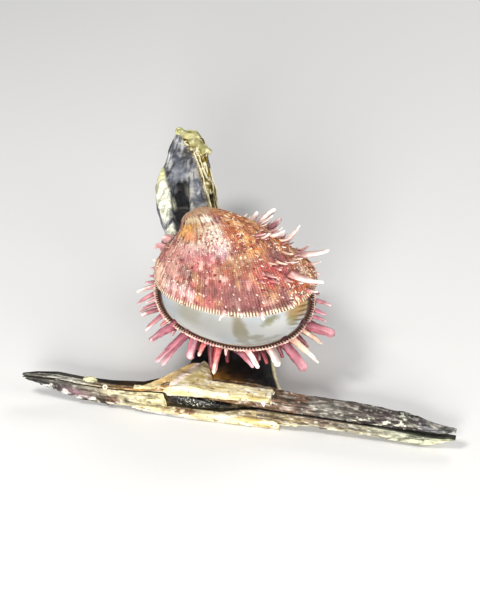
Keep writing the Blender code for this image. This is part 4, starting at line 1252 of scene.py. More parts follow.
@dataclass
class HammerOyster:
    """What both valves of the hammer oyster share: the bar, the plates and the body."""

    seed: int = 60
    stations: int = 520
    edge: float = 0.9
    back_slope: float = 0.17
    back_slope_per_mm: float = -0.001
    valve_gap: float = 0.8
    body_stations: int = 260
    body_steps: int = 11
    wing_colours: tuple[tuple[float, str], ...] = ((0.0, "808080"),)

    def bar_sections(self, low_column: int, high_column: int) -> Array:
        """The corners of the bar's sections: blunt at the hinge edge in front, sloping down to the back."""
        along = np.linspace(BAR[0, 0], BAR[-1, 0], self.stations)
        front, back, low, high = (bar_at(along, column) for column in (FRONT, BACK, low_column, high_column))
        drop = (self.back_slope + self.back_slope_per_mm * along) * (back - front)
        edge = np.minimum(self.edge, 0.3 * (high - low))
        under_back = np.maximum(low, high - drop - edge)
        y = np.stack([front, front, front + edge, back, back + 0.5 * edge, back - edge, front + edge], axis=1)
        z = np.stack([low + edge, high - edge, high, high - drop, under_back, low, low], axis=1)
        x = np.broadcast_to(along[:, None], y.shape)
        return np.stack([x, y, z], axis=-1)

    def body_table(self, count: int) -> Array:
        """The body's rows read along a smooth curve, with the way that it runs in the last two columns."""
        table = cubic(BODY_ROWS, np.linspace(0.0, len(BODY_ROWS) - 1.0, count), False)
        table[:, BASE] = np.maximum(table[:, BASE], 0.0)
        way = np.gradient(table[:, :2], axis=0)
        way /= np.linalg.norm(way, axis=1, keepdims=True)
        return np.hstack([table, way])

    def body_sections(self, section: Array, upper: bool) -> Array:
        """The corners of the body's sections, each square to the way that the body runs."""
        table = self.body_table(self.body_stations)
        base = table[:, PARTING] + self.valve_gap if upper else table[:, BASE]
        rise = table[:, CREST if upper else PARTING] - base
        reach = table[:, [HALF]] * section[:, 0]
        x = table[:, [X]] + table[:, [WAY_Y]] * reach
        y = table[:, [Y]] - table[:, [WAY_X]] * reach
        z = base[:, None] + rise[:, None] * section[:, 1]
        return np.stack([x, y, z], axis=-1)

    def body_place(self, points: Array) -> tuple[Array, Array]:
        """Finds where points lie on the body.

        The row is first read from y, then moved three times by how far the point lies along the body's way.

        Args:
            points: any grid of points.

        Returns:
            The row, from 0 at the hinge to 9 at the tip, and the share of the half width, from -1 to 1.
        """
        count = 400
        table = self.body_table(count)
        rows = np.linspace(0.0, len(BODY_ROWS) - 1.0, count)
        speed = np.hypot(*np.gradient(table[:, :2], rows, axis=0).T)
        row = np.interp(points[..., 1], table[:, 1], rows)
        for _ in range(3):
            x, y, half, way_x, way_y = (np.interp(row, rows, table[:, column])
                                        for column in (X, Y, HALF, WAY_X, WAY_Y))
            pace = np.interp(row, rows, speed)
            ahead = (points[..., 0] - x) * way_x + (points[..., 1] - y) * way_y
            row = np.clip(row + ahead / pace, 0.0, rows[-1])
        share = ((points[..., 0] - x) * way_y - (points[..., 1] - y) * way_x) / half
        return row, share

    def wing_relief(self, ring: Array) -> Array:
        """Long ridges that run with the bar, thin ledges, lumps and grain, in millimetres."""
        ridges = rough(ring, (30.0, 2.4, 1.5), 3, self.seed)
        lumps = rough(ring, (8.0, 4.0, 4.0), 3, self.seed + 1)
        grain = rough(ring, (2.2, 0.9, 0.7), 2, self.seed + 2)
        return 0.5 * ridges + 0.35 * lumps + 0.14 * grain + 0.4 * (self.ledge(ring) ** 3 - 0.3)

    def ledge(self, ring: Array) -> Array:
        """A saw-tooth over the height, bent by slow noise: the thin layers that the shell is built of."""
        bent = ring[..., 2] + 0.35 * ring[..., 1] + 1.6 * rough(ring, (24.0, 5.0, 5.0), 2, self.seed + 5)
        return (bent / 1.7) % 1.0

    def wing_paint(self, ring: Array) -> Array:
        """The bar's own ramp along x, with whitish and dark streaks that run with the bar."""
        colour = ramp(ring[..., 0] + 4.0 * rough(ring, (9.0, 3.0, 2.0), 2, self.seed + 21), self.wing_colours)
        streak = rough(ring, (15.0, 1.4, 0.9), 4, self.seed + 22)
        colour = layered(shaded(colour, 0.75 * streak), ring, (
            ("BAB4A4", 0.4, 0.12, 0.42, (11.0, 1.6, 1.0), 3, self.seed + 23),
            ("231C17", 0.8, 0.12, 0.36, (10.0, 1.0, 0.6), 3, self.seed + 24),
        ))
        speck = rough(ring, (2.2, 1.2, 0.9), 3, self.seed + 25)
        colour = blend(colour, "2C2622", 0.6 * step(0.15, 0.4, speck))
        colour = blend(colour, "DAD6C8", 0.45 * step(0.2, 0.45, -speck))
        return blend(colour, "2E2620", 0.5 * step(0.25, 0.04, self.ledge(ring)))

    def cream_paint(self, ring: Array) -> Array:
        """Cream and straw yellow, with grey and brown stains and pores."""
        return layered(linear("CCC098"), ring, (
            ("AE985C", 1.0, -0.2, 0.5, (9.0, 3.0, 1.6), 3, 75),
            ("DDD6C2", 0.85, -0.05, 0.35, (6.0, 3.0, 1.4), 3, 76),
            ("8E7A4A", 0.5, 0.15, 0.5, (8.0, 2.0, 1.0), 3, 77),
            ("7A5A30", 0.3, 0.2, 0.5, (3.0, 1.2, 0.8), 3, 79),
            ("4A2E16", 0.7, 0.42, 0.58, 1.4, 2, 78),
        ))

    def wings(self, skin: Skin, low_column: int, high_column: int) -> None:
        """Adds the bar from tip to tip."""
        ring = ring_through(self.bar_sections(low_column, high_column), 10, 3)
        normal = normals_of(ring)
        thin = np.clip((ring[..., 2].max(axis=1) - ring[..., 2].min(axis=1)) / 4.0, 0.25, 1.0)
        height = (self.wing_relief(ring) - 0.2) * thin[:, None]
        gap_side = self.gap_side(ring, low_column, high_column)
        shaped = ring + normal * (height * (1.0 - 0.8 * gap_side))[..., None]
        shaped = self.bar_shaped(shaped)
        shaped[..., 2] = np.maximum(shaped[..., 2], 0.0)
        paint = self.wing_marks(self.wing_paint(ring), ring)
        # Painted shade: near black along the parting between the two valves.
        paint = blend(paint, "0E0A08", 0.92 * gap_side)
        skin.add_grid(shaped, paint, np.array([0.6, 0.0, 1.0]))

    def gap_side(self, ring: Array, low_column: int, high_column: int) -> Array:
        """How close each point lies to the parting between the valves, from 0 to 1."""
        parting = bar_at(ring[..., 0], LOWER_TOP if high_column == LOWER_TOP else low_column)
        reach = np.interp(ring[..., 0], (-100.0, -60.0, 20.0, 70.0, 100.0), (0.35, 0.45, 0.6, 0.9, 0.8))
        return step(1.0, 0.35, np.abs(ring[..., 2] - parting) / reach)

    def bar_shaped(self, points: Array) -> Array:
        """What only one valve's bar shows in form."""
        return points

    def wing_marks(self, paint: Array, ring: Array) -> Array:
        """What only one valve's bar shows in colour."""
        return paint

    def seat_cutter(self, valve: SpinyValve) -> Skin:
        """The spiny oyster's lower valve as a plain closed form, grown by the seat's gap."""
        around = np.linspace(-180.0, 180.0, 96, endpoint=False)
        bearing, growth = np.meshgrid(around, valve.growth_rows(30, 1.3))
        outer = valve.outside(bearing, growth)
        lid = np.concatenate([outer[-1:] * 0.6 + 0.4 * outer[-1].mean(axis=0),
                              outer[-1:] * 0.2 + 0.8 * outer[-1].mean(axis=0)])
        outer = outer + normals_of(outer) * 0.35
        skin = Skin("seat_cutter")
        skin.add_grid(valve.placed(np.concatenate([outer, lid])), linear("808080"), np.zeros(3))
        return skin

    def body(self, skin: Skin, section: Array, upper: bool, valve: SpinyValve) -> None:
        """Adds the body, with the seat that the spiny oyster is cemented in cut out of it."""
        ring = ring_through(self.body_sections(section, upper), self.body_steps, 4)
        normal = normals_of(ring)
        ring = ring + normal * self.body_relief(ring)[..., None]
        ring[..., 2] = np.maximum(ring[..., 2], 0.0)
        uncut = Skin("body_uncut")
        uncut.add_grid(ring, linear("808080"), np.zeros(3))
        scratch = [shown(item.name, item.to_mesh(np.zeros(3))) for item in (uncut, self.seat_cutter(valve))]
        cut = scratch[0].modifiers.new("seat", "BOOLEAN")
        cut.operation = "DIFFERENCE"
        cut.solver = "EXACT"
        cut.object = scratch[1]
        bpy.context.view_layer.update()
        graph = bpy.context.evaluated_depsgraph_get()
        mesh = bpy.data.meshes.new_from_object(scratch[0].evaluated_get(graph))
        mesh.calc_loop_triangles()
        points = np.empty(len(mesh.vertices) * 3)
        mesh.vertices.foreach_get("co", points)
        points = points.reshape(-1, 3) / MM
        triangles = np.empty(len(mesh.loop_triangles) * 3, np.int32)
        mesh.loop_triangles.foreach_get("vertices", triangles)
        for item in scratch:
            bpy.data.objects.remove(item, do_unlink=True)
        skin.add_triangles(points, triangles.reshape(-1, 3), self.body_paint(points),
                           np.array([0.55, 0.0, 1.0]))

    def body_relief(self, ring: Array) -> Array:
        """Lumps and ledges of the body, in millimetres."""
        ledges = rough(ring, (9.0, 22.0, 2.2), 3, self.seed + 11)
        lumps = rough(ring, 5.0, 3, self.seed + 12)
        return 0.6 * ledges + 0.45 * lumps + 0.15 * rough(ring, 1.6, 2, self.seed + 13)

    def body_paint(self, points: Array) -> Array:
        """Blue-grey and brown-grey behind, and painted shade, nearly black, in front of the seat under the
        spiny oyster.
        """
        colour = layered(linear("75777C"), points, (
            ("4C4E56", 1.0, -0.3, 0.4, 6.0, 3, 81), ("C4C4BE", 0.7, 0.15, 0.45, (3.0, 8.0, 4.0), 3, 82),
            ("35302C", 0.8, 0.1, 0.4, (3.0, 7.0, 4.0), 3, 83),
        ))
        # Painted shade: in front of the seat, where the spiny oyster overhangs the body, the colour turns
        # nearly black.
        front = step(70.0, 56.0, points[..., 1])
        dark = blend("0E0A08", "2E2218", step(0.1, 0.7, rough(points, 5.0, 3, 84)))
        return blend(colour, dark, 0.97 * front)


@dataclass
class UpperHammer(HammerOyster):
    """The hammer oyster's upper valve: wings, cream hinge plate with the umbo, body with pages."""

    section: Array = field(default_factory=lambda: np.array([
        (-1.0, 0.0), (-1.0, 0.35), (-0.6, 0.78), (0.12, 1.0), (0.45, 0.93), (0.7, 0.76), (0.88, 0.5),
        (1.0, 0.2), (1.0, 0.0),
    ]))
    wing_colours: tuple[tuple[float, str], ...] = (
        (-100.0, "4E4A42"), (-92.0, "6A665C"), (-84.0, "A09E92"), (-76.0, "ACA99C"), (-66.0, "A0957F"),
        (-56.0, "88704A"), (-46.0, "94682C"), (-38.0, "9A7038"), (20.0, "685240"), (30.0, "5C4C42"),
        (44.0, "646058"), (56.0, "544C46"), (70.0, "463C3C"), (80.0, "443E3C"), (86.0, "585658"),
        (95.0, "646462"), (100.0, "3A3C3E"),
    )
    plate_ends: tuple[float, float] = (-47.0, 17.0)
    plate_depth: tuple[float, float] = (-1.8, 25.0)
    plate_underside: tuple[float, ...] = (12.9, 13.4, 12.7, 12.7, 13.8, 14.2, 15.6)
    # Edges of the pages on the right of the body: row, then the share of the half width for three edges
    pages: tuple[tuple[float, float, float, float], ...] = (
        (4.0, 0.78, 1.02, 1.3), (5.24, 0.69, 0.93, 1.12), (5.8, 0.61, 0.86, 1.03), (6.2, 0.59, 0.80, 1.0),
        (6.85, 0.40, 0.60, 0.99), (7.1, 0.29, 0.52, 0.9), (7.8, -0.20, 0.0, 0.62), (8.4, -0.42, -0.2, 0.3),
        (9.0, -0.5, -0.3, 0.1),
    )

    def page(self, row: Array, share: Array) -> Array:
        """Numbers the pages across the body: 0 on the first page's edge, 1 and 2 on the next two."""
        table = np.array(self.pages)
        first, second, third = (np.interp(row, table[:, 0], table[:, column]) for column in (1, 2, 3))
        near = (share - first) / (second - first)
        far = 1.0 + (share - second) / (third - second)
        return np.where(share < second, near, far)

    def hollow(self, row: Array, share: Array) -> Array:
        """How deep each point lies in the dark hollow of the left face, from 0 to 1."""
        middle = np.interp(row, (4.2, 5.1, 6.1), (-0.6, -0.42, -0.1))
        width = np.interp(row, (4.2, 5.1, 5.7, 6.25), (0.25, 0.33, 0.34, 0.2))
        inside = step(1.1, 0.7, np.abs(share - middle) / width)
        return inside * step(4.3, 4.8, row) * step(6.3, 6.1, row)

    def flange(self, row: Array, share: Array) -> Array:
        """How much each point belongs to the pale, frilled border on the left, from 0 to 1."""
        inner = np.interp(row, (4.6, 5.2, 5.44, 5.83, 6.39, 6.8), (-0.78, -0.8, -0.58, -0.55, -0.74, -0.95))
        long_part = step(5.02, 5.2, row) * step(6.9, 6.6, row)
        short_part = step(4.35, 4.5, row) * step(4.98, 4.85, row)
        return step(0.02, -0.05, share - inner) * np.maximum(long_part, short_part)

    def body_relief(self, ring: Array) -> Array:
        """The common lumps, and on the free end the pages, the hollow and the frilled border."""
        row, share = self.body_place(ring)
        height = super().body_relief(ring)
        free = step(3.9, 4.5, row)
        wave = 0.18 * rough(ring, 6.0, 2, 301)
        number = (self.page(row, share) + wave) * 1.5
        away = np.abs(number - np.round(number))
        groove = -3.4 * step(0.08, 0.3, away) * step(-0.1, 0.25, number) * step(8.6, 7.8, row)
        groove -= 1.2 * step(0.0, 1.0, number) * step(-0.1, 0.25, number)
        groove -= 0.5 * step(0.3, 0.0, number) * step(-1.2, -0.2, number)
        pit = -6.0 * self.hollow(row, share)
        frill = self.flange(row, share) * (0.7 + 0.7 * rough(ring, (3.0, 7.0, 3.0), 3, 303))
        streak = 0.45 * rough(sheet(share * 14.0, row * 1.5), (1.0, 1.0, 1.0), 3, 302)
        return height * (1.0 - 0.45 * free) + free * (groove + pit + frill + streak)

    def body_paint(self, points: Array) -> Array:
        """The common colours, and on the free end yellow pages with painted shade in their grooves, a pale
        border and the hollow painted black as shade; a painted highlight runs along the right edge near the
        hinge.
        """
        row, share = self.body_place(points)
        colour = super().body_paint(points)
        free = step(3.9, 4.5, row)
        streak = rough(sheet(share * 16.0, row * 2.2), (1.0, 1.0, 1.0), 3, 304)
        cloud = rough(points, (5.0, 9.0, 5.0), 3, 308)
        colour = blend(colour, "A5A39C", free * 0.6 * step(0.05, 0.4, 0.6 * streak + cloud))
        colour = blend(colour, "2C2B2C", free * 0.7 * step(0.05, 0.4, -streak))
        lobe = free * step(-0.12, 0.05, share) * step(0.45, 0.25, share) * step(6.1, 5.7, row)
        colour = blend(colour, "B4B0A2", 0.75 * lobe * step(-0.3, 0.3, cloud))
        wave = 0.18 * rough(points, 6.0, 2, 301)
        number = (self.page(row, share) + wave) * 1.5
        away = np.abs(number - np.round(number))
        on_pages = free * step(-0.35, -0.05, number)
        straw = blend("7A6826", "4E3A12", step(-0.2, 0.4, streak))
        paint = blend(straw, "DCD4B2", step(0.1, 0.03, away))
        # Painted shade: the grooves between the pages are darkened to near black, most strongly on the rows
        # nearer the hinge.
        paint = blend(paint, "0E0906", step(0.26, 0.4, away) * (0.35 + 0.6 * step(7.4, 6.0, row)))
        colour = blend(colour, paint, on_pages)
        frill = self.flange(row, share)
        pale = blend("DCDAC4", "8E8E7C", step(-0.1, 0.4, rough(points, (1.2, 5.0, 2.0), 3, 305)))
        pale = blend(pale, "C2BE72", 0.6 * step(6.0, 6.4, row))
        colour = blend(colour, pale, frill * free)
        pit = self.hollow(row, share) * free
        # Painted shade: the hollow of the left face is painted near black.
        colour = blend(colour, "08080A", 0.96 * pit)
        silt = rough(points, (2.2, 6.0, 3.0), 3, 309)
        colour = blend(colour, "5A5048", 0.6 * pit * step(0.1, 0.4, silt) * step(6.0, 5.6, row))
        tip = step(8.45, 8.8, row)
        colour = blend(colour, "B4B078", tip)
        # Painted highlight: a pale line along the body's right edge near the hinge.
        edge = step(0.9, 0.97, share) * step(0.05, 0.2, row) * step(2.4, 1.9, row)
        colour = blend(colour, "EADFB0", edge)
        near_umbo = np.exp(-(((points[..., 0] + 13.0) / 9.0) ** 2) - ((points[..., 1] - 8.0) / 8.0) ** 2)
        brown = blend("A8762E", "5A3812", step(-0.1, 0.4, rough(points, 4.0, 3, 306)))
        return blend(colour, brown, np.clip(1.35 * near_umbo, 0.0, 1.0))

    def beside(self, ring: Array, front: float, back: float) -> Array:
        """How far points lie to the right of a line over the plate, by its x in front and at the back."""
        return ring[..., 0] - np.interp(ring[..., 1], (self.plate_depth[0], 22.0), (front, back))

    def hinge_plate(self, skin: Skin) -> None:
        """Adds the cream plate over the slot with the umbo's tent and the left shoulder behind it.

        Its top is the highest of three surfaces over x and y: the plate, a tent whose foot narrows to the
        back, and the shoulder, which falls to the left. Away from all three it dips under the body.
        """
        along = np.linspace(*self.plate_ends, 240)
        back = np.linspace(0.0, 1.0, 90) ** 1.3
        x, share = np.meshgrid(along, back, indexing="ij")
        reach = np.interp(along, (-47.0, -43.0, -26.0, -19.0, -9.0, -4.0, 17.0),
                          (1.0, 1.5, 20.0, 23.0, 14.0, 9.0, 8.0))
        y = self.plate_depth[0] + (reach - self.plate_depth[0])[:, None] * share
        spot = sheet(x, y)
        ragged = rough(spot, (3.5, 3.5, 1.0), 3, 311)
        left, right = self.plate_ends
        end = step(right + 0.2, right - 0.9, x + 0.6 * ragged)
        plate_back = np.interp(x, (-31.0, -12.0, 17.0), (13.0, 7.6, 7.0)) + 0.8 * ragged
        plate = 14.0 + 3.3 * step(-31.5, -30.3, x) * step(plate_back + 1.2, plate_back - 0.8, y) * end
        depth = np.clip((y + 1.8) / 24.0, 0.0, 1.0)
        foot_left = -31.0 + 10.0 * depth
        foot_right = -8.0 - 9.0 * depth
        u = np.clip((x - foot_left) / (foot_right - foot_left), 0.0, 1.0)
        tent = (17.0 - 1.2 * depth) + (2.4 - 1.2 * depth) * (1.0 - np.abs(2.0 * u - 1.0) ** 0.9)
        tent = np.where((u > 0.0) & (u < 1.0) & (y < 22.5), tent, 13.6)
        outline = np.interp(y, (-2.0, 2.0, 21.0), (-45.0, -41.0, -25.5)) + 0.5 * ragged
        inside = step(-0.6, 1.2, x - outline) * step(-19.0, -21.0, x) * step(23.0, 21.0, y)
        shoulder = 13.6 + inside * (1.4 + 0.06 * (x - outline) + 0.05 * y)
        top = np.maximum(np.maximum(plate, tent), shoulder)
        top = top + 0.22 * rough(spot, (9.0, 1.6, 1.0), 3, 312) + 0.16 * rough(spot, 1.3, 2, 313)
        over = np.stack([x, y, top], axis=-1)
        low = np.interp(along, (left, -33.0, -31.0, -28.0, -16.0, -5.0, right), self.plate_underside)
        low = low + 0.35 * rough(sheet(along, 0 * along), 3.0, 3, 314)
        depths = np.linspace(1.0, 0.0, 14)[1:]
        under_y = self.plate_depth[0] + (reach - self.plate_depth[0])[:, None] * depths
        under = np.stack(np.broadcast_arrays(along[:, None], under_y, low[:, None]), axis=-1).copy()
        steps = np.linspace(0.0, 1.0, 9)[1:-1]
        face = under[:, -1:] + (over[:, :1] - under[:, -1:]) * steps[None, :, None]
        pitted = 0.3 * rough(face, (3.0, 1.0, 1.2), 3, 315) + 0.2 * rough(face, 1.0, 2, 316)
        face[..., 1] += pitted + 0.15
        front = step(-31.8, -31.0, along)[:, None]
        ring = np.concatenate([over, under, face], axis=1)
        ring[..., 1] += (1.0 - front) * 0.9 * (ring[..., 1] < 0.0)
        paint = self.cream_paint(ring)
        left_side = step(-29.5, -32.0, self.beside(ring, 0.0, 9.0))
        tan = blend("D9BE86", "A97C40", step(-0.2, 0.5, rough(ring, (5.0, 4.0, 2.0), 3, 317)))
        paint = blend(paint, tan, 0.75 * left_side * step(0.0, 4.0, ring[..., 1]))
        seam = np.abs(self.beside(ring, -30.0, -20.8))
        paint = blend(paint, "E9D3CC", 0.7 * step(2.2, 0.6, seam) * step(-1.6, 0.0, ring[..., 1]))
        flank = step(0.0, 2.5, self.beside(ring, -13.0, -18.0))
        paint = blend(paint, "8A6430", 0.75 * flank * step(6.0, 8.5, ring[..., 1]))
        skin.add_grid(ring, paint, np.array([0.5, 0.0, 0.55]))

    def growths(self, skin: Skin) -> None:
        """Adds the barnacle's ring on the front of the left wing and the pale bump on its back edge."""
        ring = hoop(0.8, 0.38, 0.45, 28, 12)[..., [0, 2, 1]]
        ring = ring + 0.08 * rough(ring, 0.6, 2, 371)[..., None]
        skin.add_grid(ring @ turned(0, -25.0).T + np.array([-60.4, -0.9, 12.2]), linear("D8CDB0"),
                      np.array([0.5, 0.0, 0.4]), ring=True)
        unit = globe(24, 36)
        ball = unit * np.array([3.4, 1.9, 1.7])
        ball = ball + unit * (0.5 * rough(ball, 1.6, 3, 372))[..., None] + np.array([-68.6, 3.4, 11.9])
        pale = blend("BEBA92", "86825E", step(-0.1, 0.4, rough(ball, 1.5, 2, 373)))
        skin.add_grid(ball, pale, np.array([0.5, 0.0, 0.8]))

    def drip(self, skin: Skin) -> None:
        """Adds the small white point below the plate's right end: a cone with a bent axis."""
        share = np.linspace(0.0, 1.0, 10)
        angle = circle(14)
        radius = 1.3 * (1.0 - share) + 0.08
        x = 13.0 + 0.5 * share[:, None] + np.cos(angle) * radius[:, None]
        y = -0.9 + 0.6 * np.sin(angle) * radius[:, None]
        z = np.broadcast_to((15.2 - 3.1 * share)[:, None], x.shape)
        skin.add_grid(np.stack([x, y, z], axis=-1), linear("F4EEDF"), np.array([0.4, 0.0, 0.3]))

    def tip(self, skin: Skin) -> None:
        """Adds the ring at the tip and the yellow-green lobes on its right, each a lumpy, stretched ball."""
        flat = hoop(1.45, 0.85, 0.95, 40, 16)
        flat = flat + 0.18 * rough(flat, 1.2, 2, 321)[..., None]
        points = flat @ turned(0, 42.0).T + np.array([-62.6, 157.0, 61.5])
        pale = blend("B4B284", "7E7A4C", step(-0.1, 0.5, rough(points, 1.2, 2, 322)))
        skin.add_grid(points, pale, np.array([0.5, 0.0, 0.6]), ring=True)
        unit = globe(26, 42)
        for place, size, turn in (((-57.0, 156.0, 60.2), (6.2, 3.2, 1.9), -12.0),
                                  ((-53.0, 152.6, 58.6), (4.6, 3.6, 2.0), -38.0),
                                  ((-49.4, 150.4, 57.0), (3.8, 3.0, 2.2), -20.0),
                                  ((-47.0, 149.0, 55.8), (2.9, 2.4, 2.1), 10.0)):
            ball = unit * np.array(size)
            ball = ball + unit * (0.45 * rough(ball + np.array(place), 3.6, 3, 323))[..., None]
            ball = ball @ turned(2, turn).T + np.array(place)
            shade = blend("A8A272", "767044", step(-0.2, 0.4, rough(ball, 2.6, 3, 324)))
            shade = blend(shade, "CEC8A4", 0.7 * step(0.1, 0.4, rough(ball, 2.0, 3, 325)))
            skin.add_grid(ball, shade, np.array([0.5, 0.0, 0.9]))

    def sheets(self, skin: Skin) -> None:
        """Adds thin pages that stand along the right of the body: a strip carried along the page's edge.

        Each strip's edge follows the page's share of the half width, its outer side leans to the right, and
        its two faces are half a thickness to either side.
        """
        table = self.body_table(400)
        rows = np.linspace(0.0, len(BODY_ROWS) - 1.0, 400)
        pages = np.array(self.pages)
        start = 4.2
        for number, (end, first) in enumerate(((8.2, 0.0), (7.9, 0.72), (7.6, 1.3), (7.2, 1.8))):
            row = np.linspace(start, end, 130)
            edges = np.stack([np.interp(row, pages[:, 0], pages[:, column]) for column in (1, 2, 3)])
            share = (1.0 - first % 1.0) * edges[int(first)] + (first % 1.0) * edges[min(int(first) + 1, 2)]
            x, y, half, low, top, way_x, way_y = (np.interp(row, rows, table[:, column]) for column in (
                X, Y, HALF, PARTING, CREST, WAY_X, WAY_Y))
            share = np.minimum(share, 1.02) + 0.02 * np.sin(row * 7.0 + number)
            rise = np.interp(share, self.section[3:8, 0], self.section[3:8, 1])
            foot = np.stack([x + way_y * half * share, y - way_x * half * share,
                             low + 0.8 + (top - low - 0.8) * rise - 2.2], axis=-1)
            lean = np.stack([0.35 * way_y, -0.35 * way_x, np.full(len(row), 0.94)], axis=-1)
            side = np.stack([way_y, -way_x, np.zeros(len(row))], axis=-1)
            tall = 2.7 * step(start, start + 0.4, row) * step(end, end - 0.7, row) + 0.2
            tall = tall + 0.35 * noise(sheet(row * 4.0, 0 * row + number), 1.0, 331)
            levels = np.array([0.0, 0.5, 1.0, 1.04, 1.0, 0.5, 0.0])
            widths = np.array([-0.4, -0.32, -0.16, 0.0, 0.16, 0.32, 0.4])
            points = (foot[:, None] + lean[:, None] * (tall[:, None] * levels)[..., None]
                      + side[:, None] * widths[:, None])
            points = points + 0.12 * rough(points, 1.8, 2, 332 + number)[..., None]
            paint = blend("4A3814", "D9D0AC", np.broadcast_to(step(0.35, 0.95, levels), points.shape[:2]))
            skin.add_grid(points, paint, np.array([0.5, 0.0, 0.7]))

    def bar_shaped(self, points: Array) -> Array:
        """Lifts the right end off the lower valve and turns its tip up a little."""
        x = points[..., 0]
        parting, top = bar_at(x, UPPER_BASE), bar_at(x, UPPER_TOP)
        low_share = 1.0 - np.clip((points[..., 2] - parting) / (top - parting), 0.0, 1.0)
        points = points.copy()
        points[..., 2] += 0.5 * step(62.0, 86.0, x) * low_share + 0.9 * step(93.0, 100.0, x)
        shelf = step(80.0, 78.0, x) * step(66.0, 74.0, x) * step(0.5, 0.1, low_share)
        points[..., 2] += 0.5 * shelf
        return points

    def wing_marks(self, paint: Array, ring: Array) -> Array:
        """A mottled stretch and whitish patches on the right, and a rusty one beside the plate."""
        x = ring[..., 0]
        right = step(16.0, 22.0, x)
        patch = right * step(0.3, 0.5, rough(ring, (6.0, 2.0, 1.6), 3, 342))
        paint = blend(paint, "B3A79B", 0.65 * patch)
        specked = step(44.0, 52.0, x) * step(82.0, 76.0, x) * step(14.2, 12.6, ring[..., 2])
        speck = rough(ring, (1.8, 1.2, 1.0), 3, 343)
        paint = blend(paint, "1E1A1A", 0.75 * specked * step(0.0, 0.3, speck))
        paint = blend(paint, "D8DAC0", 0.8 * specked * step(0.12, 0.36, -speck))
        rust = step(20.0, 24.0, x) * step(36.0, 30.0, x)
        return blend(paint, "8A5A38", 0.6 * rust * step(-0.1, 0.3, rough(ring, (5.0, 2.0, 1.6), 2, 344)))

    def build(self, offset: Array, material: bpy.types.Material, valve: SpinyValve) -> bpy.types.Object:
        """Makes the upper valve in one mesh."""
        skin = Skin("hammer_upper_shell")
        self.wings(skin, UPPER_BASE, UPPER_TOP)
        self.hinge_plate(skin)
        self.drip(skin)
        self.growths(skin)
        self.body(skin, self.section, True, valve)
        self.sheets(skin)
        self.tip(skin)
        return finished(skin, offset, material, "hammer_upper_valve")


